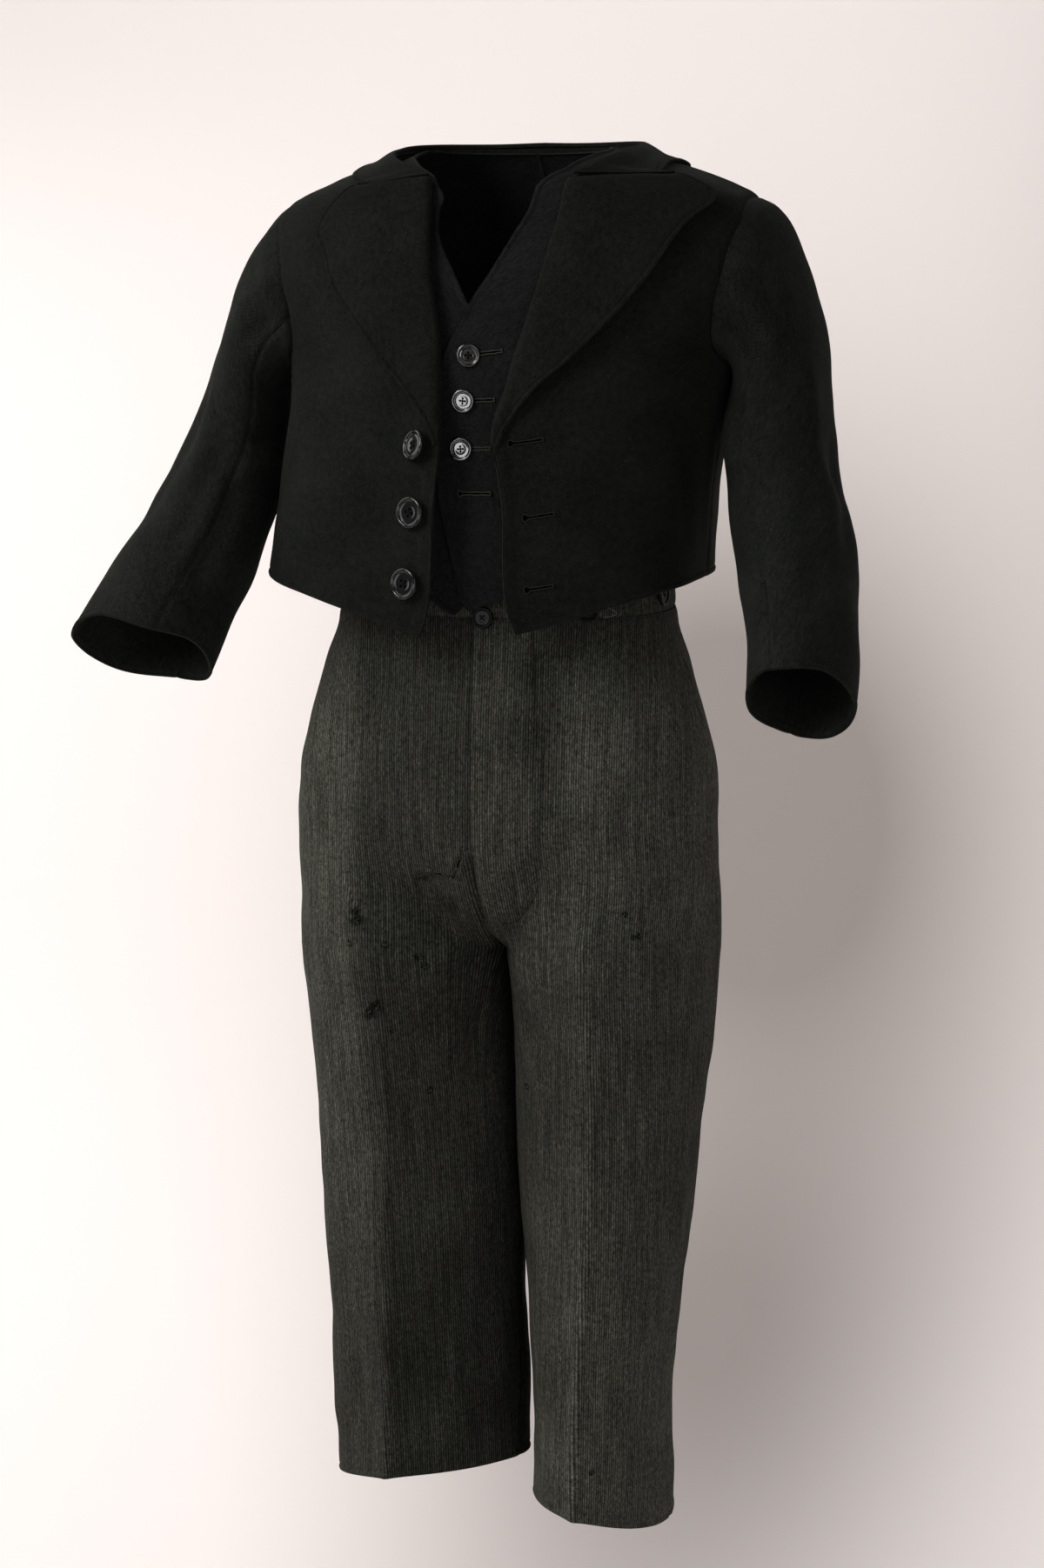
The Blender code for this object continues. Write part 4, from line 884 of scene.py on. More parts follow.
# ---------------------------------------------------------------- trousers
TROUSER_FOLDS = {
    LEFT: table(
        FOLD, (0.27, -0.280, 0.225, -0.405, 0, 14, -4.0), (0.11, -0.285, 0.13, -0.400, 0, 12, 2.0),
        (0.17, -0.390, 0.20, -0.455, 0, 8, -1.6), (0.03, -0.432, 0.17, -0.418, 0, 6, 1.2),
        (0.06, -0.455, 0.34, -0.400, 0, 8, -1.8), (0.10, -0.475, 0.48, -0.440, 0, 8, 1.2),
        (0.16, -0.470, 0.26, -0.380, 0, 7, 1.0), (0.72, -0.300, 0.86, -0.420, 0, 9, 1.1),
        (0.60, -0.300, 0.64, -0.400, 0, 10, -0.9), (0.10, -0.300, 0.12, -0.420, 0, 9, -0.9),
        (0.20, -0.520, 0.40, -0.560, 0, 9, -1.0), (0.90, -0.500, 0.70, -0.600, 0, 10, 1.1),
        (0.15, -0.640, 0.42, -0.668, 0, 8, -0.9), (0.85, -0.650, 0.60, -0.690, 0, 8, -1.0),
        (0.20, -0.760, 0.40, -0.785, 0, 9, 0.9), (0.80, -0.780, 0.90, -0.845, 0, 8, -0.9),
        (1.10, -0.420, 1.50, -0.455, 0, 9, -1.4), (1.20, -0.470, 1.60, -0.500, 0, 9, 1.3),
        (1.30, -0.300, 1.36, -0.400, 0, 9, -1.0), (1.70, -0.420, 1.94, -0.470, 0, 8, -1.6),
        (1.60, -0.620, 1.85, -0.655, 0, 8, -1.5), (1.20, -0.640, 1.42, -0.662, 0, 8, -1.3),
        (1.50, -0.700, 1.30, -0.800, 0, 10, 1.1)),
    RIGHT: table(
        FOLD, (0.02, -0.436, 0.30, -0.450, 0, 8, -1.7), (0.06, -0.470, 0.36, -0.500, 0, 8, 1.3),
        (0.10, -0.300, 0.30, -0.395, 0, 10, 0.9), (0.30, -0.290, 0.44, -0.400, 0, 10, -1.0),
        (0.70, -0.310, 0.66, -0.430, 0, 9, 1.0), (0.86, -0.430, 0.70, -0.520, 0, 10, -1.1),
        (0.15, -0.530, 0.36, -0.575, 0, 9, -1.1), (0.20, -0.640, 0.44, -0.660, 0, 8, -1.0),
        (0.86, -0.620, 0.62, -0.668, 0, 9, 1.0), (0.66, -0.720, 0.60, -0.820, 0, 10, -1.0),
        (0.24, -0.720, 0.30, -0.840, 0, 10, 0.9), (0.90, -0.740, 0.80, -0.830, 0, 8, 0.9),
        (1.12, -0.430, 1.46, -0.465, 0, 9, 1.3), (1.20, -0.490, 1.56, -0.515, 0, 9, -1.4),
        (1.34, -0.310, 1.30, -0.400, 0, 9, 1.0), (1.70, -0.430, 1.94, -0.480, 0, 8, -1.6),
        (1.62, -0.630, 1.88, -0.660, 0, 8, 1.3), (1.22, -0.650, 1.44, -0.675, 0, 8, -1.4),
        (1.50, -0.710, 1.60, -0.820, 0, 10, 1.1))}
PLACE = "c height"
FLY_STITCH = table(PLACE, (0.200, -0.2755), (0.188, -0.320), (0.192, -0.380), (0.198, -0.430),
                   (0.206, -0.447), (0.178, -0.458), (0.128, -0.4655), (0.062, -0.4685))
POCKET = {LEFT: (-0.345, -0.4355), RIGHT: (-0.352, -0.4200)}


def trouser_line(rows, count=60):
    """A smooth line on a trouser half through a table's places."""
    at = np.linspace(0, 1, len(rows["c"]))
    t = np.linspace(0, 1, count)
    keyed = {"at": at, **rows}
    return curve(keyed, "c", t), curve(keyed, "height", t)


def trouser_grid(side, part, count, rows):
    spread = np.concatenate([steps(count, 0.07) / 2, 1 - steps(count, 0.07)[-2::-1] / 2])
    if part == "back":
        spread = 2 - spread
    top = steps(rows, 0.58)
    bend = WAIST_SEAM + (-0.850 - WAIST_SEAM) * top
    c, height = np.meshgrid(spread, bend, indexing="ij")
    turn = np.radians(180 * c)
    hem = LEG_HEM[side]
    low = hem["mean"] - hem["outer"] * np.cos(turn) + hem["front"] * np.sin(turn)
    if side == LEFT:
        low = low + MM * (4.0 * np.exp(-((c - 0.45) / 0.25) ** 2) - 6.0 * np.exp(-((c - 1.0) / 0.3) ** 2))
    return c, height + (low + 0.850) * np.clip((-0.60 - height) / 0.25, 0, 1) ** 2


CREASE = {
    (LEFT, "front"): ((0.31, -0.416), (0.505, -0.8455)), (LEFT, "back"): ((1.56, -0.45), (1.50, -0.8455)),
    (RIGHT, "front"): ((0.41, -0.416), (0.49, -0.8455)), (RIGHT, "back"): ((1.56, -0.45), (1.50, -0.8455))}


def from_crease(side, part, points, height, run):
    """Distance round the leg from its pressed crease, which hangs straight."""
    (c0, top), (c1, low) = CREASE[side, part]
    x0, x1 = (trouser(side, np.float64(c), np.float64(h))[0] for c, h in ((c0, top), (c1, low)))
    start = np.empty(run.shape[1])
    for column in range(run.shape[1]):
        along = np.clip((height[:, column].mean() - top) / (low - top), 0, 1.2)
        x = x0 + (x1 - x0) * along
        start[column] = np.interp(side * x, side * points[:, column, 0], run[:, column])
    beside = run - start
    if part == "back":
        return beside
    # above the crotch the stripes hang straight, however the front is shaped
    across = side * (points[..., 0] - (x0 + (x1 - x0) * np.clip((height - top) / (low - top), 0, 1.2)))
    straight = (1 - smooth((-0.475 - height) / 0.10)) * smooth(-beside / (20 * MM))
    return beside + (across - beside) * straight


# How light each leg's cloth is: all over, then painted shade inside the crease, painted shade at the knee,
# and at the hem painted shade on the right leg and painted light on the left.
LEG_TONE = {RIGHT: (0.88, 0.58, 0.84, 0.68), LEFT: (0.90, 0.82, 0.76, 1.30)}
DAMAGE = "c height size"
HOLES = {
    RIGHT: table(DAMAGE, (0.505, -0.4605, 3.4), (0.510, -0.4665, 4.0), (0.555, -0.4815, 2.2),
                 (0.45, -0.4815, 2.6),
                 (0.31, -0.4815, 1.8), (0.355, -0.490, 3.2), (0.345, -0.4965, 2.8), (0.505, -0.5215, 4.2),
                 (0.525, -0.5265, 4.4), (0.47, -0.5375, 2.6), (0.365, -0.579, 2.4), (0.54, -0.7215, 2.0),
                 (0.175, -0.4385, 3.6)),
    LEFT: table(DAMAGE, (0.58, -0.4565, 2.6), (0.655, -0.470, 2.6), (0.635, -0.4708, 2.2),
                (0.215, -0.576, 2.8),
                (0.573, -0.818, 2.2))}
# Soft dark spots on the fronts. Those on the left front, apart from the small one at the centre seam, are
# painted shadow below the jacket and beside the fly; the right front's are stains.
STAINS_AND_PAINTED_SHADOW = {LEFT: table(DAMAGE, (0.12, -0.345, 20), (0.17, -0.300, 14), (0.015, -0.352, 4), (0.19, -0.392, 7),
                       (0.30, -0.285, 18)),
          RIGHT: table(DAMAGE, (0.52, -0.468, 9), (0.12, -0.455, 12), (0.50, -0.524, 8))}
TEAR = table(PLACE, (0.190, -0.4375), (0.175, -0.4385), (0.140, -0.4365), (0.105, -0.4355),
             (0.065, -0.4380),
             (0.045, -0.4335), (0.028, -0.4265), (0.014, -0.4185), (0.004, -0.4180))


def trouser_relief(side, part, c, height, points, beside):
    """Folds, creases, the fly's layers with their stitching, pocket mouths, holes and the tear."""
    def surface(c, height):
        return trouser(side, c, height)
    relief = lumps(points, 0.09, 0.7 * MM, 51) + lumps(points, 0.034, 0.24 * MM, 52)
    relief += 1.4 * folds(points, surface, TROUSER_FOLDS[side])
    pressed = smooth((-0.36 - height) / 0.12)
    relief += pressed * MM * (3.8 * np.exp(-np.abs(beside) / (15 * MM)) - 0.9)
    if side == RIGHT:
        beside_inner = np.exp(-(np.minimum(c, 2 - c) / 0.35) ** 2)
        relief += 3.6 * MM * beside_inner * smooth((-0.47 - height) / 0.05) * smooth((height + 0.73) / 0.07)
    if side == LEFT:
        relief += 3.5 * MM * smooth((-0.79 - height) / 0.06) * np.exp(-((c - 1.0) / 0.22) ** 2)
    if part == "back":
        return relief
    if side == LEFT:
        line = surface(*trouser_line(FLY_STITCH))
        distance, _ = line_distance(points, line)
        inside = (c < np.interp(-height, -FLY_STITCH["height"][:5], FLY_STITCH["c"][:5])) & (height > -0.4685)
        relief += 0.8 * MM * np.where(inside, smooth(distance / (5 * MM)), 0)
        relief -= 0.7 * MM * np.exp(-(distance / (1.8 * MM)) ** 2)
        relief += 1.6 * MM * np.exp(-((c / 0.030) ** 2)) * (height > -0.42)
    else:
        distance, along = line_distance(points, surface(*trouser_line(TEAR, 40)))
        above = smooth((points[..., 2] + 0.436) / (3 * MM))
        relief += (0.3 + 2.0 * above) * MM * np.exp(-((distance - 2.4 * MM) / (2.2 * MM)) ** 2)
        relief -= 1.8 * MM * np.exp(-(distance / (1.7 * MM)) ** 2)
    cleft = surface(np.full(16, 0.002), np.linspace(-0.408, -0.468, 16))
    distance, along = line_distance(points, cleft)
    relief -= 3.4 * MM * np.exp(-(distance / (2.6 * MM)) ** 2) * smooth(along / 0.35)
    for hole_c, hole_height, size in zip(*HOLES[side].values()):
        middle = surface(np.float64(hole_c), np.float64(hole_height))
        distance = np.linalg.norm((points - middle) * (1, 1, 0.8), axis=-1) / (size * MM)
        relief += MM * (0.15 * np.exp(-((distance - 1.7) / 0.7) ** 2) - 1.1 * np.exp(-(distance ** 2)))
    top, bottom = POCKET[side]
    mouth = surface(np.full(20, 1.0), np.linspace(top, bottom, 20))
    distance, along = line_distance(points, mouth)
    gape = np.exp(-(distance / (5 * MM)) ** 2) * smooth(along / 0.2) * smooth((1 - along) / 0.2)
    return relief + 1.6 * MM * gape


def read_panel(panel, c, height):
    """Values of a front panel's grids at places on it."""
    spread, heights, *grids = panel
    found = []
    for one_c, one_height in zip(np.ravel(c), np.ravel(height)):
        i = np.interp(one_c, spread, np.arange(len(spread)))
        i0 = min(int(i), len(spread) - 2)
        row = heights[i0] + (heights[i0 + 1] - heights[i0]) * (i - i0)
        j = np.interp(-one_height, -row, np.arange(len(row)))
        j0 = min(int(j), len(row) - 2)
        shares = ((i0, j0, (1 - i + i0) * (1 - j + j0)), (i0 + 1, j0, (i - i0) * (1 - j + j0)),
                  (i0, j0 + 1, (1 - i + i0) * (j - j0)), (i0 + 1, j0 + 1, (i - i0) * (j - j0)))
        found.append([sum(share * grid[a, b] for a, b, share in shares) for grid in grids])
    return [np.array([row[k] for row in found]) for k in range(len(grids))]


def spots_on(panel, rows, scale, strength):
    places = read_panel(panel, rows["c"], rows["height"])[0]
    return [(u, v, size * scale * MM, strength) for (u, v), size in zip(places, rows["size"])]


def trouser_panels(band_wool):
    fronts = {}
    for side, word in SIDES:
        for part, count, rows in (("front", 44, 210), ("back", 24, 120)):
            c, height = trouser_grid(side, part, count, rows)
            points = trouser(side, c, height)
            out = trouser_facing(side, c, height)
            run = edge_distances(points)
            beside = from_crease(side, part, points, height, run[0])
            grain = np.stack([beside, run[2]], -1)
            relief = trouser_relief(side, part, c, height, points, beside)
            marks = ()
            if part == "front":
                panel = (c[:, 0], height, grain)
                # marks: painted shade round the holes, and the stains with their patches of painted shadow
                marks = spots_on(panel, HOLES[side], 1.1, 0.70) + spots_on(panel, STAINS_AND_PAINTED_SHADOW[side], 1.0, 0.32)
            wool = striped_wool("trouser_wool_%s_%s" % (part, word), marks, *LEG_TONE[side])
            moved, _, _ = cloth("trouser_%s_%s_cloth" % (part, word), "trouser_%s_%s" % (part, word), points,
                                out, THIN_CLOTH, wool,
                                ("seam", "seam", "seam", "turned"),
                                relief, uv=grain)
            if part == "front":
                fronts[side] = (c[:, 0], height, moved, out)
        band = WAIST_SEAM + (WAIST_TOP - WAIST_SEAM) * steps(10, 0.042)
        angle, height = np.meshgrid(180 * steps(60, 0.30), band, indexing="ij")
        points = torso(TROUSERS, side * angle, height)
        out = torso_facing(TROUSERS, side * angle, height)
        cloth("trouser_waistband_%s_cloth" % word, "trouser_waistband_%s" % word, points, out, THIN_CLOTH,
              band_wool, ("seam", "seam", "seam", "turned"),
              lumps(points, 0.05, 0.15 * MM, 61))
    return fronts


# ---------------------------------------------------------------- materials
def node(tree, kind, inputs=None, **settings):
    made = tree.nodes.new("ShaderNode" + kind)
    for name, value in settings.items():
        setattr(made, name, value)
    for name, value in (inputs or {}).items():
        if isinstance(value, bpy.types.NodeSocket):
            tree.links.new(value, made.inputs[name])
        else:
            made.inputs[name].default_value = value
    return made


def new_material(name):
    made = bpy.data.materials.new(name)
    made.use_nodes = True
    return made, made.node_tree, made.node_tree.nodes["Principled BSDF"]


def maths(tree, operation, a, b=0.0, c=0.0):
    made = tree.nodes.new("ShaderNodeMath")
    made.operation = operation
    for socket, value in zip(made.inputs, (a, b, c)):
        if isinstance(value, bpy.types.NodeSocket):
            tree.links.new(value, socket)
        else:
            socket.default_value = value
    return made.outputs[0]


def noise(tree, where, scale, detail=2.0, rough=0.5, stretch=(1, 1, 1)):
    spread = node(tree, "Mapping", {"Vector": where, "Scale": stretch})
    return node(tree, "TexNoise", {"Vector": spread.outputs[0], "Scale": scale, "Detail": detail,
                                   "Roughness": rough}).outputs["Fac"]


def mixed(tree, share, a, b):
    made = tree.nodes.new("ShaderNodeMix")
    made.data_type = "RGBA"
    sockets = [s for s in made.inputs if s.type == "RGBA"]
    tree.links.new(share, made.inputs[0])
    for socket, value in zip(sockets, (a, b)):
        if isinstance(value, bpy.types.NodeSocket):
            tree.links.new(value, socket)
        else:
            socket.default_value = (*value, 1)
    return [s for s in made.outputs if s.type == "RGBA"][0]


def spread_of(tree, value, low, high):
    return node(tree, "MapRange", {"Value": value, "From Min": low, "From Max": high}).outputs[0]


def black_wool(name, dark, light, nap):
    """Milled black wool: a faint twill under a short nap, slightly uneven in depth of dye."""
    made, tree, shader = new_material(name)
    grain = node(tree, "UVMap", uv_map="grain").outputs[0]
    fibre = noise(tree, grain, 760.0, 4.0, 0.7)
    nap_noise = noise(tree, grain, 300.0, 3.0, 0.65, (1.0, 0.7, 1))
    cloud = noise(tree, grain, 22.0, 3.0, 0.55)
    split = node(tree, "SeparateXYZ", {"Vector": grain})
    diagonal = maths(tree, "ADD", split.outputs[0], split.outputs[1])
    twill = maths(tree, "SINE", maths(tree, "MULTIPLY", diagonal, 2 * math.pi / (1.3 * MM)))
    tone = maths(tree, "ADD", maths(tree, "MULTIPLY", fibre, 0.60),
                 maths(tree, "MULTIPLY", nap_noise, 0.35))
    tone = maths(tree, "ADD", tone, maths(tree, "MULTIPLY", cloud, 0.25))
    tone = maths(tree, "MULTIPLY_ADD", twill, 0.03, tone)
    share = spread_of(tree, tone, 0.48, 0.76)
    colour = mixed(tree, share, dark, light)
    tree.links.new(colour, shader.inputs["Base Color"])
    height = maths(tree, "MULTIPLY_ADD", twill, 0.12, fibre)
    height = maths(tree, "MULTIPLY_ADD", nap_noise, 0.9, height)
    bump = node(tree, "Bump", {"Height": height, "Strength": 0.75, "Distance": 0.0006})
    tree.links.new(bump.outputs[0], shader.inputs["Normal"])
    shader.inputs["Roughness"].default_value = 0.95
    shader.inputs["Specular IOR Level"].default_value = 0.05
    shader.inputs["Sheen Weight"].default_value = nap
    shader.inputs["Sheen Roughness"].default_value = 0.5
    shader.inputs["Sheen Tint"].default_value = (0.62, 0.68, 0.60, 1)
    return made


def striped_wool(name, spots=(), shade=1.0, inner=1.0, middle=0.8, low=0.85):
    """Dark grey wool with pale, broken pin stripes about 1.6 mm apart along the grain.

    spots are (u, v, radius, strength) in metres: strength over 0 darkens, under 0 fades.
    The colour also carries painted shade under the jacket's hem and beside the crease, and painted shade and
    light down the leg.
    """
    made, tree, shader = new_material(name)
    grain = node(tree, "UVMap", uv_map="grain").outputs[0]
    split = node(tree, "SeparateXYZ", {"Vector": grain})
    wobble = noise(tree, grain, 50.0, 2.0, 0.5, (1, 0.35, 1))
    u = maths(tree, "MULTIPLY_ADD", wobble, 0.6 * MM, split.outputs[0])
    wave = maths(tree, "COSINE", maths(tree, "MULTIPLY", u, 2 * math.pi / (1.56 * MM)))
    line = maths(tree, "POWER", maths(tree, "MULTIPLY_ADD", wave, 0.5, 0.5), 1.1)
    broken = spread_of(tree, noise(tree, grain, 900.0, 3.0, 0.75, (1.0, 0.45, 1)), 0.36, 0.66)
    strands = spread_of(tree, noise(tree, grain, 420.0, 2.0, 0.6, (1.0, 0.045, 1)), 0.36, 0.64)
    flecks = spread_of(tree, noise(tree, grain, 520.0, 2.0, 0.6, (1.0, 0.45, 1)), 0.34, 0.66)
    line = maths(tree, "MULTIPLY", line, maths(tree, "MULTIPLY_ADD", broken, 0.85, 0.15))
    speck = spread_of(tree, noise(tree, grain, 1300.0, 3.0, 0.8, (1, 0.6, 1)), 0.40, 0.72)
    cloud = noise(tree, grain, 17.0, 4.0, 0.65)
    ground = mixed(tree, speck, (0.0055, 0.0060, 0.0045), (0.066, 0.0665, 0.054))
    rusty = mixed(tree, line, ground, (0.150, 0.151, 0.125))
    streaks_and_painted_shade = 1.0
    # painted shade and light down the leg: darker towards the knee, then darker or lighter at the hem as each
    # leg's table gives
    for near, far, share in ((0.10, 0.28, middle), (0.34, 0.50, low)):
        step = node(tree, "MapRange", {"Value": split.outputs[1], "From Min": near, "From Max": far,
                                       "To Min": 1.0, "To Max": share},
                    interpolation_type="SMOOTHSTEP").outputs[0]
        streaks_and_painted_shade = maths(tree, "MULTIPLY", step, streaks_and_painted_shade)
    streaks_and_painted_shade = maths(tree, "MULTIPLY", streaks_and_painted_shade, maths(tree, "MULTIPLY_ADD", strands, 0.55, 0.68))
    streaks_and_painted_shade = maths(tree, "MULTIPLY", streaks_and_painted_shade, maths(tree, "MULTIPLY_ADD", flecks, 0.70, 0.62))
    # painted shadow of the jacket's hem: the cloth is darker towards the waist seam
    painted_hem_shadow = node(tree, "MapRange", {"Value": split.outputs[1], "From Min": 0.0, "From Max": 0.075,
                                        "To Min": 0.50, "To Max": 1.0}).outputs[0]
    # worn carries the cloth's own uneven tone and also the painted shade and light
    worn = maths(tree, "MULTIPLY", maths(tree, "MULTIPLY_ADD", cloud, 1.1 * shade, 0.45 * shade), streaks_and_painted_shade)
    worn = maths(tree, "MULTIPLY", worn, painted_hem_shadow)
    # painted shade on the inner side of the pressed crease, which turns away from the light
    beside = node(tree, "MapRange", {"Value": split.outputs[0], "From Min": -14 * MM, "From Max": 4 * MM,
                                     "To Min": inner, "To Max": 1.0},
                  interpolation_type="SMOOTHSTEP").outputs[0]
    worn = maths(tree, "MULTIPLY", worn, beside)
    rough_edge = noise(tree, grain, 240.0, 3.0, 0.6)
    # each spot darkens the cloth: painted shade round the moth holes, and stains, some of which are painted
    # shadow
    for spot_u, spot_v, radius, strength in spots:
        du = maths(tree, "SUBTRACT", split.outputs[0], spot_u)
        dv = maths(tree, "SUBTRACT", split.outputs[1], spot_v)
        far = maths(tree, "SQRT", maths(tree, "ADD", maths(tree, "MULTIPLY", du, du),
                                        maths(tree, "MULTIPLY", dv, dv)))
        far = maths(tree, "MULTIPLY_ADD", rough_edge, 1.6 * radius,
                    maths(tree, "SUBTRACT", far, 0.8 * radius))
        near = node(tree, "MapRange", {"Value": far, "From Min": 1.15 * radius, "From Max": 0.45 * radius},
                    interpolation_type="SMOOTHSTEP").outputs[0]
        worn = maths(tree, "MULTIPLY", worn, maths(tree, "MULTIPLY_ADD", near, -strength, 1.0))
    shaded = node(tree, "VectorMath", {0: rusty}, operation="SCALE")
    tree.links.new(worn, shaded.inputs["Scale"])
    tree.links.new(shaded.outputs[0], shader.inputs["Base Color"])
    height = maths(tree, "ADD", maths(tree, "MULTIPLY", line, 0.8), speck)
    bump = node(tree, "Bump", {"Height": height, "Strength": 0.5, "Distance": 0.0004})
    tree.links.new(bump.outputs[0], shader.inputs["Normal"])
    shader.inputs["Roughness"].default_value = 0.92
    shader.inputs["Specular IOR Level"].default_value = 0.04
    return made


def horn(name, gloss):
    """Polished black buttons, slightly uneven in polish."""
    made, tree, shader = new_material(name)
    place = node(tree, "TexCoord").outputs["Object"]
    cloud = noise(tree, place, 220.0, 3.0, 0.6)
    colour = mixed(tree, cloud, (0.0035, 0.0035, 0.0035), (0.0075, 0.0070, 0.0070))
    tree.links.new(colour, shader.inputs["Base Color"])
    tree.links.new(maths(tree, "MULTIPLY_ADD", cloud, 0.06, 0.05), shader.inputs["Roughness"])
    shader.inputs["Specular IOR Level"].default_value = gloss
    return made


def thread(name, colour, roughness=0.6, gloss=0.1):
    made, tree, shader = new_material(name)
    place = node(tree, "TexCoord").outputs["Object"]
    twist = noise(tree, place, 1500.0, 2.0, 0.6)
    light = tuple(min(1.0, 2.0 * c) for c in colour)
    tree.links.new(mixed(tree, twist, colour, light), shader.inputs["Base Color"])
    bump = node(tree, "Bump", {"Height": twist, "Strength": 0.5, "Distance": 0.0002})
    tree.links.new(bump.outputs[0], shader.inputs["Normal"])
    shader.inputs["Roughness"].default_value = roughness
    shader.inputs["Specular IOR Level"].default_value = gloss
    return made


# ---------------------------------------------------------------- threads, buttons, buttonholes
def tube(points, radius, sides=5, taper=False):
    """Vertices and faces of a tube along points, its ends closed."""
    points = np.asarray(points, float)
    way = unit(np.gradient(points, axis=0))
    side = unit(np.cross(way, np.where(np.abs(way[:, 2:]) > 0.9, [[1.0, 0.0, 0.0]], [[0.0, 0.0, 1.0]])))
    other = np.cross(way, side)
    size = np.full(len(points), radius)
    if taper:
        size = radius * np.clip(np.linspace(1.2, 0.25, len(points)), 0, 1)
    turn = 2 * math.pi * np.arange(sides) / sides
    ring = side[:, None] * np.cos(turn)[None, :, None] + other[:, None] * np.sin(turn)[None, :, None]
    vertices = (points[:, None] + size[:, None, None] * ring).reshape(-1, 3)
    faces = []
    for i in range(len(points) - 1):
        for k in range(sides):
            n = (k + 1) % sides
            faces.append([i * sides + k, i * sides + n, (i + 1) * sides + n, (i + 1) * sides + k])
    faces.append(list(range(sides))[::-1])
    faces.append([(len(points) - 1) * sides + k for k in range(sides)])
    return vertices, faces


def joined(name, parts, material):
    """One object from many small (vertices, faces) parts."""
    vertices, faces, start = [], [], 0
    for part_vertices, part_faces in parts:
        vertices.append(part_vertices)
        faces += [[start + k for k in face] for face in part_faces]
        start += len(part_vertices)
    made = mesh_object(name, np.concatenate(vertices), faces, material)
    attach(made, "root")
    return made


def on_line(line, out, distance):
    """Points a distance apart along a line, with the line's direction and normal there."""
    hop = np.concatenate([[0], np.cumsum(np.linalg.norm(np.diff(line, axis=0), axis=1))])
    at = np.arange(distance / 2, hop[-1], distance)
    place = np.stack([np.interp(at, hop, line[:, k]) for k in range(3)], -1)
    normal = unit(np.stack([np.interp(at, hop, out[:, k]) for k in range(3)], -1))
    ahead = np.stack([np.interp(at + 1e-4, hop, line[:, k]) for k in range(3)], -1)
    return place, unit(ahead - place + 1e-12), normal


def stitch_run(line, out, pitch=2.4 * MM, length=1.7 * MM, radius=0.22 * MM):
    """Small running stitches lying along a line on the cloth."""
    parts = []
    for place, way, normal in zip(*on_line(line, out, pitch)):
        ends = [place - way * length / 2, place + normal * radius * 0.9, place + way * length / 2]
        parts.append(tube(ends, radius, 4))
    return parts


def lathe(profile, around=48):
    profile = np.asarray(profile)
    turn = 2 * math.pi * np.arange(around) / around
    vertices = [np.array([[0, 0, profile[0][1]]])]
    for radius, rise in profile[1:-1]:
        vertices.append(np.stack([radius * np.cos(turn), radius * np.sin(turn), np.full(around, rise)], -1))
    vertices.append(np.array([[0, 0, profile[-1][1]]]))
    faces = []
    for k in range(around):
        n = (k + 1) % around
        faces.append([0, 1 + n, 1 + k])
        for ring in range(len(profile) - 3):
            a, b = 1 + ring * around, 1 + (ring + 1) * around
            faces.append([a + k, a + n, b + n, b + k])
        last = 1 + (len(profile) - 3) * around
        faces.append([last + k, last + n, last + around])
    return np.concatenate(vertices), faces


def drilled(made, radius, spread, depth):
    """Cut four thread holes through a button lying flat at the origin."""
    parts = []
    for k in range(4):
        turn = math.pi / 4 + k * math.pi / 2
        x, y = spread * math.cos(turn), spread * math.sin(turn)
        parts.append(tube([(x, y, -depth), (x, y, 3 * depth)], radius, 14))
    vertices = np.concatenate([p[0] for p in parts])
    faces = [[i * 28 + k for k in face] for i, p in enumerate(parts) for face in p[1]]
    mesh = bpy.data.meshes.new("drill")
    mesh.from_pydata(vertices.tolist(), [], faces)
    drill = bpy.data.objects.new("drill", mesh)
    bpy.context.scene.collection.objects.link(drill)
    cut = made.modifiers.new("holes", "BOOLEAN")
    cut.operation = "DIFFERENCE"
    cut.object = drill
    cut.solver = "EXACT"
    bpy.context.view_layer.update()
    result = bpy.data.meshes.new_from_object(made.evaluated_get(bpy.context.evaluated_depsgraph_get()))
    made.modifiers.clear()
    made.data = result
    bpy.data.objects.remove(drill, do_unlink=True)


def placed(vertices, base, side, up, out):
    return base + vertices[:, :1] * side + vertices[:, 1:2] * up + vertices[:, 2:3] * out


def button_frame(surface, angle, height, spin, turn, nod):
    """Where a button sits and its axes; turn swings it round its shank, nod tips it back."""
    angle, height = np.array([angle]), np.array([height])
    base = surface(angle, height)[0]
    out = facing(surface, angle, height, 1.2, 3.0 * MM)[0]
    side = unit(np.cross([0.0, 0.0, 1.0], out))
    up = np.cross(out, side)
    a, b = math.radians(turn), math.radians(nod)
    side, out = side * math.cos(a) + out * math.sin(a), out * math.cos(a) - side * math.sin(a)
    up, out = up * math.cos(b) - out * math.sin(b), out * math.cos(b) + up * math.sin(b)
    a = math.radians(spin)
    side, up = side * math.cos(a) + up * math.sin(a), up * math.cos(a) - side * math.sin(a)
    return base, side, up, out


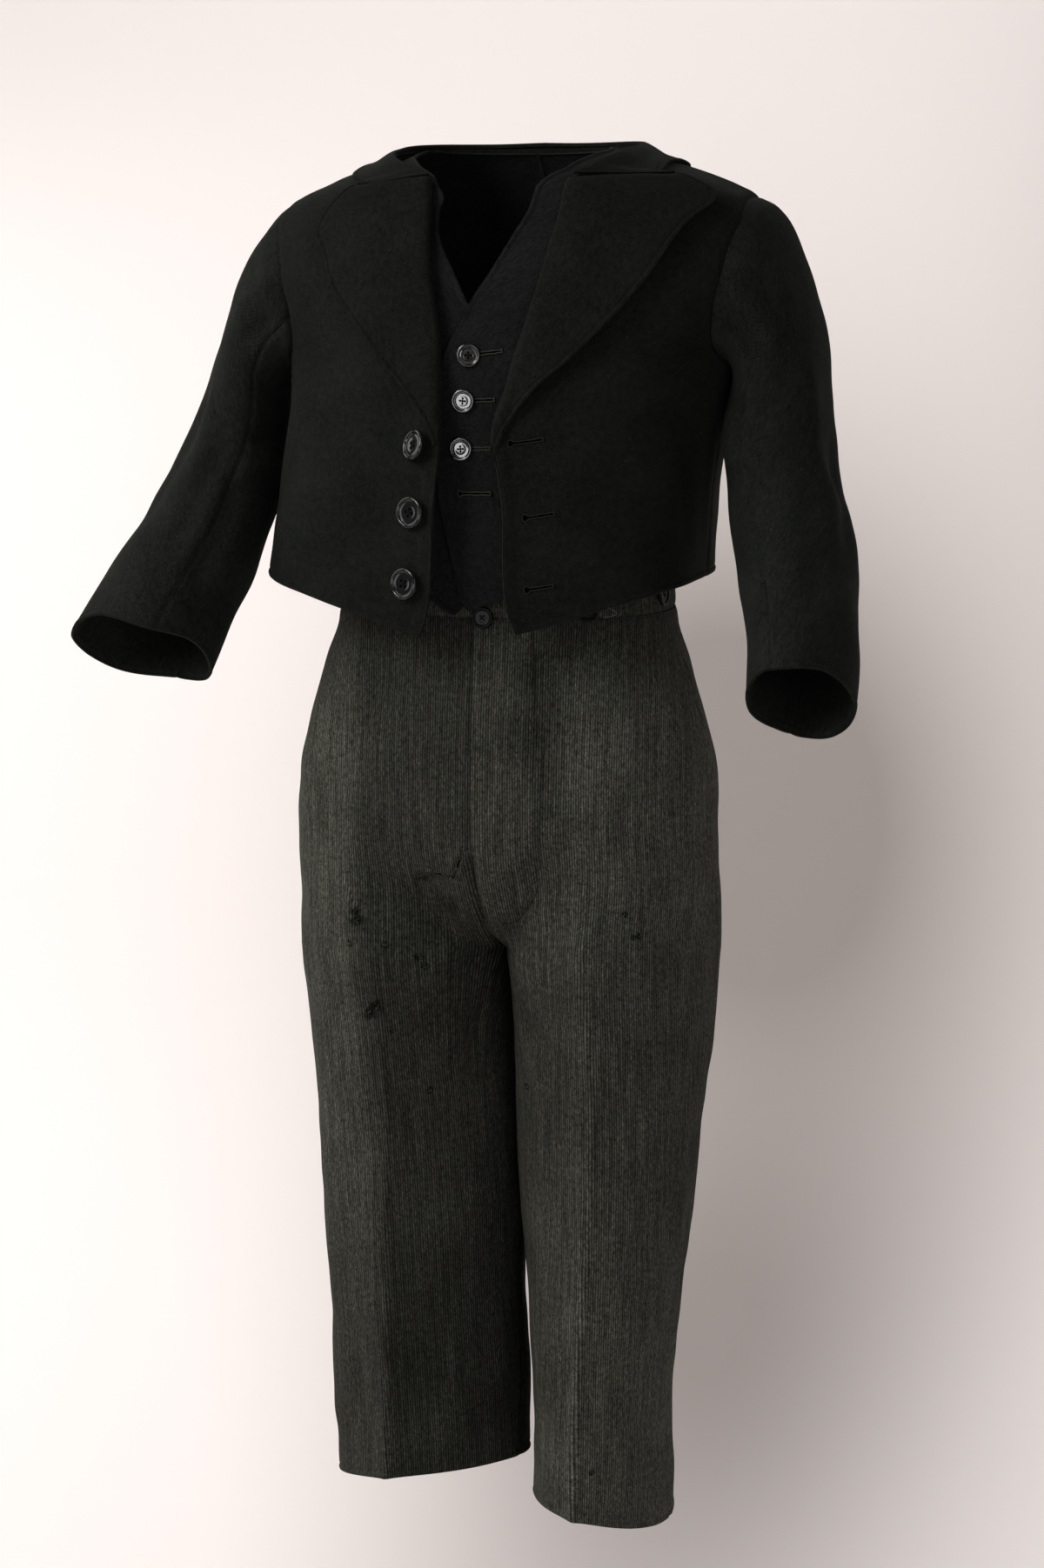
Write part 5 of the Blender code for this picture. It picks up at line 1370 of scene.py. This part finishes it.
def sewn_button(node_name, size, surface, place, horn_finish, cotton):
    """A rimmed button with four holes, cross-sewn, in place of its plain CAD node."""
    r, d = size["radius"], size["depth"]
    angle, height, spin, turn, nod = place
    profile = [(0, 0.05 * d), (0.70 * r, 0), (0.90 * r, 0.10 * d), (0.985 * r, 0.34 * d), (r, 0.52 * d),
               (0.985 * r, 0.72 * d), (0.95 * r, 0.88 * d), (0.90 * r, 0.97 * d), (0.85 * r, d),
               (0.80 * r, 0.97 * d), (0.755 * r, 0.87 * d), (0.72 * r, 0.74 * d), (0.70 * r, 0.70 * d),
               (0.67 * r, 0.70 * d), (0.64 * r, 0.72 * d), (0.45 * r, 0.72 * d), (0.40 * r, 0.70 * d),
               (0.35 * r, 0.69 * d), (0.04 * r, 0.69 * d), (0, 0.69 * d)]
    vertices, faces = lathe(profile)
    made = mesh_object(node_name + "_fine", vertices, faces, horn_finish)
    drilled(made, 0.10 * r, 0.22 * r, d)
    made.data.materials.clear()
    made.data.materials.append(horn_finish)
    made.data.polygons.foreach_set("use_smooth", [True] * len(made.data.polygons))
    made.data.set_sharp_from_angle(angle=math.radians(38))
    base, side, up, out = button_frame(surface, angle, height, spin, turn, nod)
    base = base + 0.35 * r * math.sin(math.radians(abs(turn))) * out
    flat = np.empty(len(made.data.vertices) * 3)
    made.data.vertices.foreach_get("co", flat)
    made.data.vertices.foreach_set("co", placed(flat.reshape(-1, 3), base, side, up, out).ravel())
    made.data.update()
    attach(made, "root")
    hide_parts(node_name)
    parts = []
    for k in (0, 1):
        turn = math.pi / 4 + k * math.pi / 2
        for shift in (-0.03 * r, 0.03 * r):
            across = np.linspace(-1, 1, 7)
            x = 0.23 * r * across * math.cos(turn) - shift * math.sin(turn)
            y = 0.23 * r * across * math.sin(turn) + shift * math.cos(turn)
            z = 0.62 * d + 0.10 * d * (1 - across**2) * (1 + k) - 0.25 * d * (np.abs(across) > 0.9)
            line = placed(np.stack([x, y, z], -1), base, side, up, out)
            parts.append(tube(line, 0.036 * r, 5))
    joined(node_name + "_thread", parts, cotton)


JACKET_BUTTON = {"radius": 10.0 * MM, "depth": 3.2 * MM}
VEST_BUTTON = {"radius": 7.5 * MM, "depth": 2.6 * MM}
BRACE_BUTTON = {"radius": 7.0 * MM, "depth": 2.4 * MM}
BUTTON_PLACE = "angle height spin turn nod"
JACKET_BUTTONS = table(BUTTON_PLACE, (-7.5, -0.166, 10, 34, 2), (-6.5, -0.206, 30, 16, -3),
                       (-6.5, -0.249, -5, 14, 2))
VEST_BUTTONS = table(BUTTON_PLACE, (-1.5, -0.111, 45, -13, -12), (-2.0, -0.1385, 40, 0, 0),
                     (-2.5, -0.168, 50, 0, 0))
BRACE_BUTTONS = table(BUTTON_PLACE, (37, -0.267, 0, 0, 0), (79, -0.2605, 20, 0, 0), (-37, -0.267, 15, 0, 0),
                      (-79, -0.2605, 5, 0, 0), (168, -0.2605, 0, 0, 0), (-168, -0.2605, 10, 0, 0))


def all_buttons(dull, bright, worn, cotton):
    def jacket(angle, height):
        return jacket_place(angle, height, 0.5 * MM)

    def vest(angle, height):
        return vest_place(angle, height, 0.3 * MM)

    def trousers(angle, height):
        return torso(TROUSERS, angle, height) + 0.6 * MM * torso_facing(TROUSERS, angle, height)
    sets = (("jacket_button", JACKET_BUTTON, jacket, JACKET_BUTTONS, dull),
            ("vest_button", VEST_BUTTON, vest, VEST_BUTTONS, bright),
            ("trouser_brace_button", BRACE_BUTTON, trousers, BRACE_BUTTONS, worn))
    for name, size, surface, rows, finish in sets:
        for k, place in enumerate(zip(*rows.values())):
            sewn_button("%s_%d" % (name, k + 1), size, surface, place, finish, cotton)
    sewn_button("trouser_waist_button", BRACE_BUTTON, trousers, (2.0, -0.2715, 0, 0, 0), worn, cotton)


HOLE = "angle0 height0 angle1 height1"
JACKET_HOLES = table(HOLE, (7.5, -0.1640, 15.5, -0.1610), (12.5, -0.2080, 20.5, -0.2050),
                     (14.0, -0.2515, 21.5, -0.2485))
VEST_HOLES = table(HOLE, (-1.5, -0.1110, 4.8, -0.1088), (-2.0, -0.1385, 4.2, -0.1378),
                   (-2.5, -0.1680, 3.6, -0.1675), (-3.4, -0.1952, 4.0, -0.1950))


def buttonhole(surface, start, end, eye, half):
    """A keyhole outline's worked edge and its dark slit; start is the eye, towards the edge."""
    t = np.linspace(0, 1, 34)
    angle, height = start[0] + (end[0] - start[0]) * t, start[1] + (end[1] - start[1]) * t
    middle = surface(angle, height)
    out = facing(surface, angle, height, 0.8, 2.0 * MM)
    way = unit(np.gradient(middle, axis=0))
    across = np.cross(out, way)
    length = np.linalg.norm(middle[-1] - middle[0])
    d = t * length
    width = np.where(d < 2 * eye, np.sqrt(np.maximum(eye**2 - (d - eye) ** 2, 0)), 0)
    width = np.maximum(width, half * smooth(d / (0.8 * eye)))
    width = width * np.where(t > 0.97, 0.3, 1.0) * (1 + 0.22 * np.sin(17 * t + 40 * start[1]) * (t > 0.3))
    upper, lower = middle + width[:, None] * across, middle - width[:, None] * across
    outline = np.concatenate([upper, lower[::-1]])
    normals = np.concatenate([out, out[::-1]])
    hop = np.concatenate([[0], np.cumsum(np.linalg.norm(np.diff(outline, axis=0), axis=1))])
    at = np.linspace(0, hop[-1], 170)
    line = np.stack([np.interp(at, hop, outline[:, k]) for k in range(3)], -1)
    normal = np.stack([np.interp(at, hop, normals[:, k]) for k in range(3)], -1)
    there_and_back = np.concatenate([middle, middle[::-1]])
    middle_line = np.stack([np.interp(at, hop, there_and_back[:, k]) for k in range(3)], -1)
    away = unit(line - middle_line + 1e-9)
    swell = 0.30 * MM + 0.16 * MM * (np.arange(170) % 2)
    line = line + away * 0.42 * MM + normal * 0.18 * MM
    vertices, faces = tube(line, 1.0 * MM, 6)
    ring = vertices.reshape(170, 6, 3)
    ring = line[:, None] + (ring - line[:, None]) * (swell / (1.0 * MM))[:, None, None]
    bar_way = across[-1] * 1.5 * MM
    bar = tube([middle[-1] - bar_way + out[-1] * 0.3 * MM, middle[-1] + out[-1] * 0.5 * MM,
                middle[-1] + bar_way + out[-1] * 0.3 * MM], 0.42 * MM, 6)
    # the slit is a dark sheet just under the cloth: painted shadow in the cut
    cells = np.arange(68).reshape(2, 34)
    slit = (np.concatenate([upper, lower]) - 0.05 * MM * np.concatenate([out, out]), grid_faces(cells))
    return [(ring.reshape(-1, 3), faces), bar], slit


def all_buttonholes(silk, pale_silk, dark):
    worked, slits = [], []
    sets = ((lambda a, h: jacket_place(a, h, 0.35 * MM), JACKET_HOLES, 1.75 * MM),
            (lambda a, h: vest_place(a, h, 0.35 * MM), VEST_HOLES, 1.45 * MM))
    for surface, rows, eye in sets:
        for a0, h0, a1, h1 in zip(*rows.values()):
            edge, slit = buttonhole(surface, (a0, h0), (a1, h1), eye, 0.45 * MM)
            worked += edge
            slits.append(slit)
    joined("jacket_hole_edges", worked[:6], silk)
    joined("vest_hole_edges", worked[6:], pale_silk)
    joined("buttonhole_slits", slits, dark)


# ---------------------------------------------------------------- wear
def curl(start, way, out, length, bend, chance, count=7):
    """A loose thread that leaves a place along way and curls up off the cloth."""
    t = np.linspace(0, 1, count)[:, None]
    side = unit(np.cross(out, way))
    return (start + length * t * way + length * bend * chance.uniform(-1, 1) * t**2 * side
            + out * length * (0.12 + 0.3 * chance.uniform(0, 1) * t * (1 - 0.6 * t)))


def frayed(places, normals, ways, chance, count, low, high):
    """Short thread ends along a line of places."""
    parts = []
    for k in chance.integers(0, len(places), count):
        way = unit(ways[k] + chance.normal(0, 0.5, 3))
        way = unit(way - normals[k] * (way @ normals[k]))
        start = places[k] + chance.normal(0, 0.35 * MM, 3)
        line = curl(start, way, normals[k], chance.uniform(low, high), 0.4, chance)
        parts.append(tube(line, 0.13 * MM, 3, True))
    return parts


def trouser_wear(fronts, pale, dark):
    """The frayed tear, the moth holes and the fly's stitching; the dark sheets in the tear and the holes are
    painted shade.
    """
    chance = np.random.default_rng(7)
    pale_parts, shade_sheets_and_dark_threads, stitches = [], [], []
    spots, normals = read_panel(fronts[RIGHT], *trouser_line(TEAR, 70))
    normals = unit(normals)
    t = np.linspace(0, 1, 70)
    half = MM * (0.40 + 1.0 * np.abs(np.sin(9 * t)) * np.sin(math.pi * t))[:, None]
    across = unit(np.cross(normals, np.gradient(spots, axis=0)))
    strip = np.concatenate([spots + half * across, spots - half * across])
    strip = strip + 0.12 * MM * np.concatenate([normals] * 2)
    # a dark strip along the tear: painted shade in its gap
    shade_sheets_and_dark_threads.append((strip, grid_faces(np.arange(140).reshape(2, 70))))
    down = np.array([0.0, 0.0, -1.0]) + 0 * spots
    pale_parts += frayed(spots + 0.9 * MM * across, normals, down, chance, 90, 0.8 * MM, 2.6 * MM)
    pale_parts += frayed(spots - 0.9 * MM * across, normals, -down, chance, 50, 0.6 * MM, 1.8 * MM)
    for side in (RIGHT, LEFT):
        rows = HOLES[side]
        centres, outs = read_panel(fronts[side], rows["c"], rows["height"])
        for centre, out, size in zip(centres, unit(outs), rows["size"]):
            turn = 2 * math.pi * np.arange(14) / 14
            ragged = size * 0.46 * MM * chance.uniform(0.45, 1.3, 14)
            right = unit(np.cross(out, [0.0, 0.0, 1.0]))
            up = np.cross(right, out)
            ring = np.cos(turn)[:, None] * right + 1.2 * np.sin(turn)[:, None] * up
            ring = centre + ragged[:, None] * ring
            ring = ring + 0.35 * MM * out
            # a dark disc in each hole: painted shade inside it
            shade_sheets_and_dark_threads.append((np.concatenate([[centre + 0.1 * MM * out], ring]),
                               [[0, 1 + k, 1 + (k + 1) % 14] for k in range(14)]))
            inward = unit(centre - ring)
            outs14 = np.tile(out, (14, 1))
            pale_parts += frayed(ring, outs14, inward, chance, 9, 0.5 * MM, 1.6 * MM)
            shade_sheets_and_dark_threads += frayed(ring, outs14, inward, chance, 7, 0.6 * MM, 1.8 * MM)
    line, outs = read_panel(fronts[LEFT], *trouser_line(FLY_STITCH, 90))
    line, outs = line[48:], outs[48:]
    stitches += stitch_run(line + 0.1 * MM * unit(outs), unit(outs), 2.2 * MM, 1.6 * MM, 0.20 * MM)
    joined("fly_stitches", stitches, dark)
    joined("trouser_frays", pale_parts, pale)
    joined("trouser_hole_shade_and_threads", shade_sheets_and_dark_threads, dark)


def jacket_lint(pale):
    """Lint on the nap, and a loose thread below the hem."""
    chance = np.random.default_rng(19)
    parts = []
    for side in (LEFT, RIGHT):
        angles, heights = side * chance.uniform(14, 78, 16), chance.uniform(-0.24, -0.06, 16)
        places = jacket_place(angles, heights, 0.25 * MM)
        normals = torso_facing(JACKET, angles, heights)
        turns, alongs = chance.uniform(20, 110, 14), chance.uniform(0.2, 0.95, 14)
        arm = sleeve(side, turns, alongs)
        arm_out = side * facing(lambda a, h: sleeve(side, a, h), turns, alongs, 0.4, 0.003)
        places = np.concatenate([places, arm + 0.9 * MM * arm_out])
        normals = np.concatenate([normals, arm_out])
        for place, out in zip(places, normals):
            way = unit(np.cross(out, chance.normal(size=3)))
            line = curl(place, way, out, chance.uniform(0.5, 1.8) * MM, 0.5, chance, 5)
            parts.append(tube(line, 0.09 * MM, 3, True))
    start = jacket_place(np.array([38.0]), np.array([-0.262]), 0.0)[0]
    t = np.linspace(0, 1, 24)[:, None]
    loop = start + np.concatenate([6 * MM * np.sin(3.4 * t), -4 * MM * t, -9 * MM * t + 3 * MM * t**2], 1)
    parts.append(tube(loop, 0.10 * MM, 4))
    joined("jacket_lint", parts, pale)


# ---------------------------------------------------------------- stage, light, camera
def add_light(name, place, target, size, power, colour):
    light = bpy.data.lights.new(name, "AREA")
    light.shape = "RECTANGLE"
    light.size, light.size_y = size
    light.energy = power
    light.color = colour
    made = bpy.data.objects.new(name, light)
    made.location = place
    way = unit(np.array(target, float) - np.array(place, float))
    made.rotation_euler = mathutils.Vector(way).to_track_quat("-Z", "Y").to_euler()
    made.visible_camera = False
    bpy.context.scene.collection.objects.link(made)
    return made


# Painted shadow on the paper, in soft patches: where (x, z), how wide and tall, how much.
SHADE = ((-0.104, -0.806, 0.263, 0.418, -1.591), (-0.113, -0.817, 0.233, 0.274, 1.044),
         (-1.064, 0.181, 0.642, 0.254, -0.215), (0.387, -0.190, 0.212, 0.376, -0.231))


def stage():
    """A pale floor that sweeps up behind, with painted shadow behind the legs and a painted slope of light
    across it.
    """
    made, tree, shader = new_material("paper")
    place = node(tree, "TexCoord").outputs["Object"]
    split = node(tree, "SeparateXYZ", {"Vector": place})
    x, z = split.outputs[0], split.outputs[2]
    # a painted slope of light across the paper, then the patches of painted shadow
    tone = maths(tree, "MULTIPLY_ADD", x, 0.036, maths(tree, "MULTIPLY_ADD", z, -0.096, 0.825))
    for middle_x, middle_z, wide, tall, amount in SHADE:
        dx = maths(tree, "MULTIPLY", maths(tree, "SUBTRACT", x, middle_x), 1 / wide)
        dz = maths(tree, "MULTIPLY", maths(tree, "SUBTRACT", z, middle_z), 1 / tall)
        square = maths(tree, "MULTIPLY_ADD", dx, dx, maths(tree, "MULTIPLY", dz, dz))
        fall = maths(tree, "POWER", math.e, maths(tree, "MULTIPLY", square, -1.0))
        tone = maths(tree, "MULTIPLY_ADD", fall, amount, tone)
    share = spread_of(tree, tone, 0.303, 0.880)
    colour = mixed(tree, share, (0.339, 0.305, 0.293), (0.945, 0.887, 0.872))
    tree.links.new(colour, shader.inputs["Base Color"])
    shader.inputs["Roughness"].default_value = 0.95
    shader.inputs["Specular IOR Level"].default_value = 0.0
    floor_z, wall_y, bend = -1.30, 1.15, 0.60
    turns = np.radians(np.linspace(0, 90, 13))
    profile = [(-6.0, floor_z)]
    profile += [(wall_y - bend + bend * math.sin(t), floor_z + bend - bend * math.cos(t)) for t in turns]
    profile.append((wall_y, 4.0))
    xs = np.linspace(-5, 5, 21)
    vertices = [(x, y, z) for x in xs for y, z in profile]
    cells = np.arange(len(vertices)).reshape(len(xs), len(profile))
    paper = mesh_object("backdrop", vertices, grid_faces(cells), made)


CAMERA = {"azimuth": 15.0, "elevation": 8.5, "distance": 2.8, "lens": 99.83}
CAMERA_TARGET = np.array([0.0065, 0.0, -0.389])


def camera():
    azimuth, elevation = math.radians(CAMERA["azimuth"]), math.radians(CAMERA["elevation"])
    right = np.array([math.cos(azimuth), math.sin(azimuth), 0.0])
    back = np.array([math.sin(azimuth) * math.cos(elevation), -math.cos(azimuth) * math.cos(elevation),
                     math.sin(elevation)])
    up = np.cross(back, right)
    data = bpy.data.cameras.new("camera")
    data.lens, data.sensor_width = CAMERA["lens"], 36.0
    made = bpy.data.objects.new("camera", data)
    place = CAMERA_TARGET + CAMERA["distance"] * back
    rows = [[right[k], up[k], back[k], place[k]] for k in range(3)]
    made.matrix_world = mathutils.Matrix(rows + [[0, 0, 0, 1]])
    bpy.context.scene.collection.objects.link(made)
    bpy.context.scene.camera = made


def lights():
    target = (0.0, 0.0, -0.35)
    add_light("key", (-1.9, -2.2, 1.5), target, (1.5, 1.8), 76, (1.0, 0.99, 0.97))
    add_light("fill", (1.6, -2.6, 0.2), target, (2.0, 2.4), 21, (0.97, 0.98, 1.0))
    add_light("backdrop_light", (-1.7, -0.2, 0.6), (-0.5, 1.15, -0.3), (1.2, 2.0), 26, (1.0, 0.99, 0.98))
    glints = (add_light("card", (-0.40, -1.95, -0.40), (0, -0.1, -0.15), (0.62, 0.56), 9.0, (1, 1, 1)),
              add_light("glint", (-1.65, -2.35, 1.15), (0, -0.1, -0.2), (0.45, 0.60), 26.0, (1, 1, 1)))
    for glint in glints:
        glint.visible_diffuse = False
    world = bpy.data.worlds.new("studio")
    world.use_nodes = True
    world.node_tree.nodes["Background"].inputs[0].default_value = (1.0, 1.0, 0.97, 1)
    world.node_tree.nodes["Background"].inputs[1].default_value = 0.15
    bpy.context.scene.world = world
    bpy.context.scene.view_settings.view_transform = "Standard"


def main():
    wool = black_wool("jacket_wool_cloth", (0.0018, 0.0022, 0.0017), (0.0118, 0.0134, 0.0110), 0.02)
    # the sleeves get a lighter copy of the jacket's wool: painted light
    sleeve_wool_painted_lighter = black_wool("sleeve_wool_cloth", (0.0026, 0.0031, 0.0024), (0.0165, 0.0184, 0.0150), 0.02)
    vest_wool = black_wool("vest_wool_cloth", (0.0026, 0.0029, 0.0028), (0.0150, 0.0162, 0.0156), 0.02)
    jacket_panels(wool)
    sleeve_panels(sleeve_wool_painted_lighter)
    lapel_panels(wool)
    collar_pieces(wool)
    vest_panels(vest_wool)
    fronts = trouser_panels(striped_wool("waistband_wool", (), 0.9))
    cotton = thread("black_thread", (0.003, 0.003, 0.003), 0.7, 0.03)
    silk = thread("buttonhole_silk", (0.0100, 0.0098, 0.0080), 0.6, 0.05)
    pale_silk = thread("worn_silk", (0.021, 0.020, 0.014), 0.6, 0.1)
    dark = thread("slit_shadow", (0.0008, 0.0008, 0.0008), 0.95, 0.0)
    pale = thread("pale_thread", (0.085, 0.086, 0.075), 0.9, 0.1)
    all_buttons(horn("dull_horn", 0.26), horn("polished_horn", 0.70), horn("worn_horn", 0.03), cotton)
    all_buttonholes(silk, pale_silk, dark)
    trouser_wear(fronts, pale, thread("hole_shade", (0.0030, 0.0030, 0.0024), 0.95, 0.0))
    jacket_lint(pale)
    stage()
    lights()
    camera()


main()
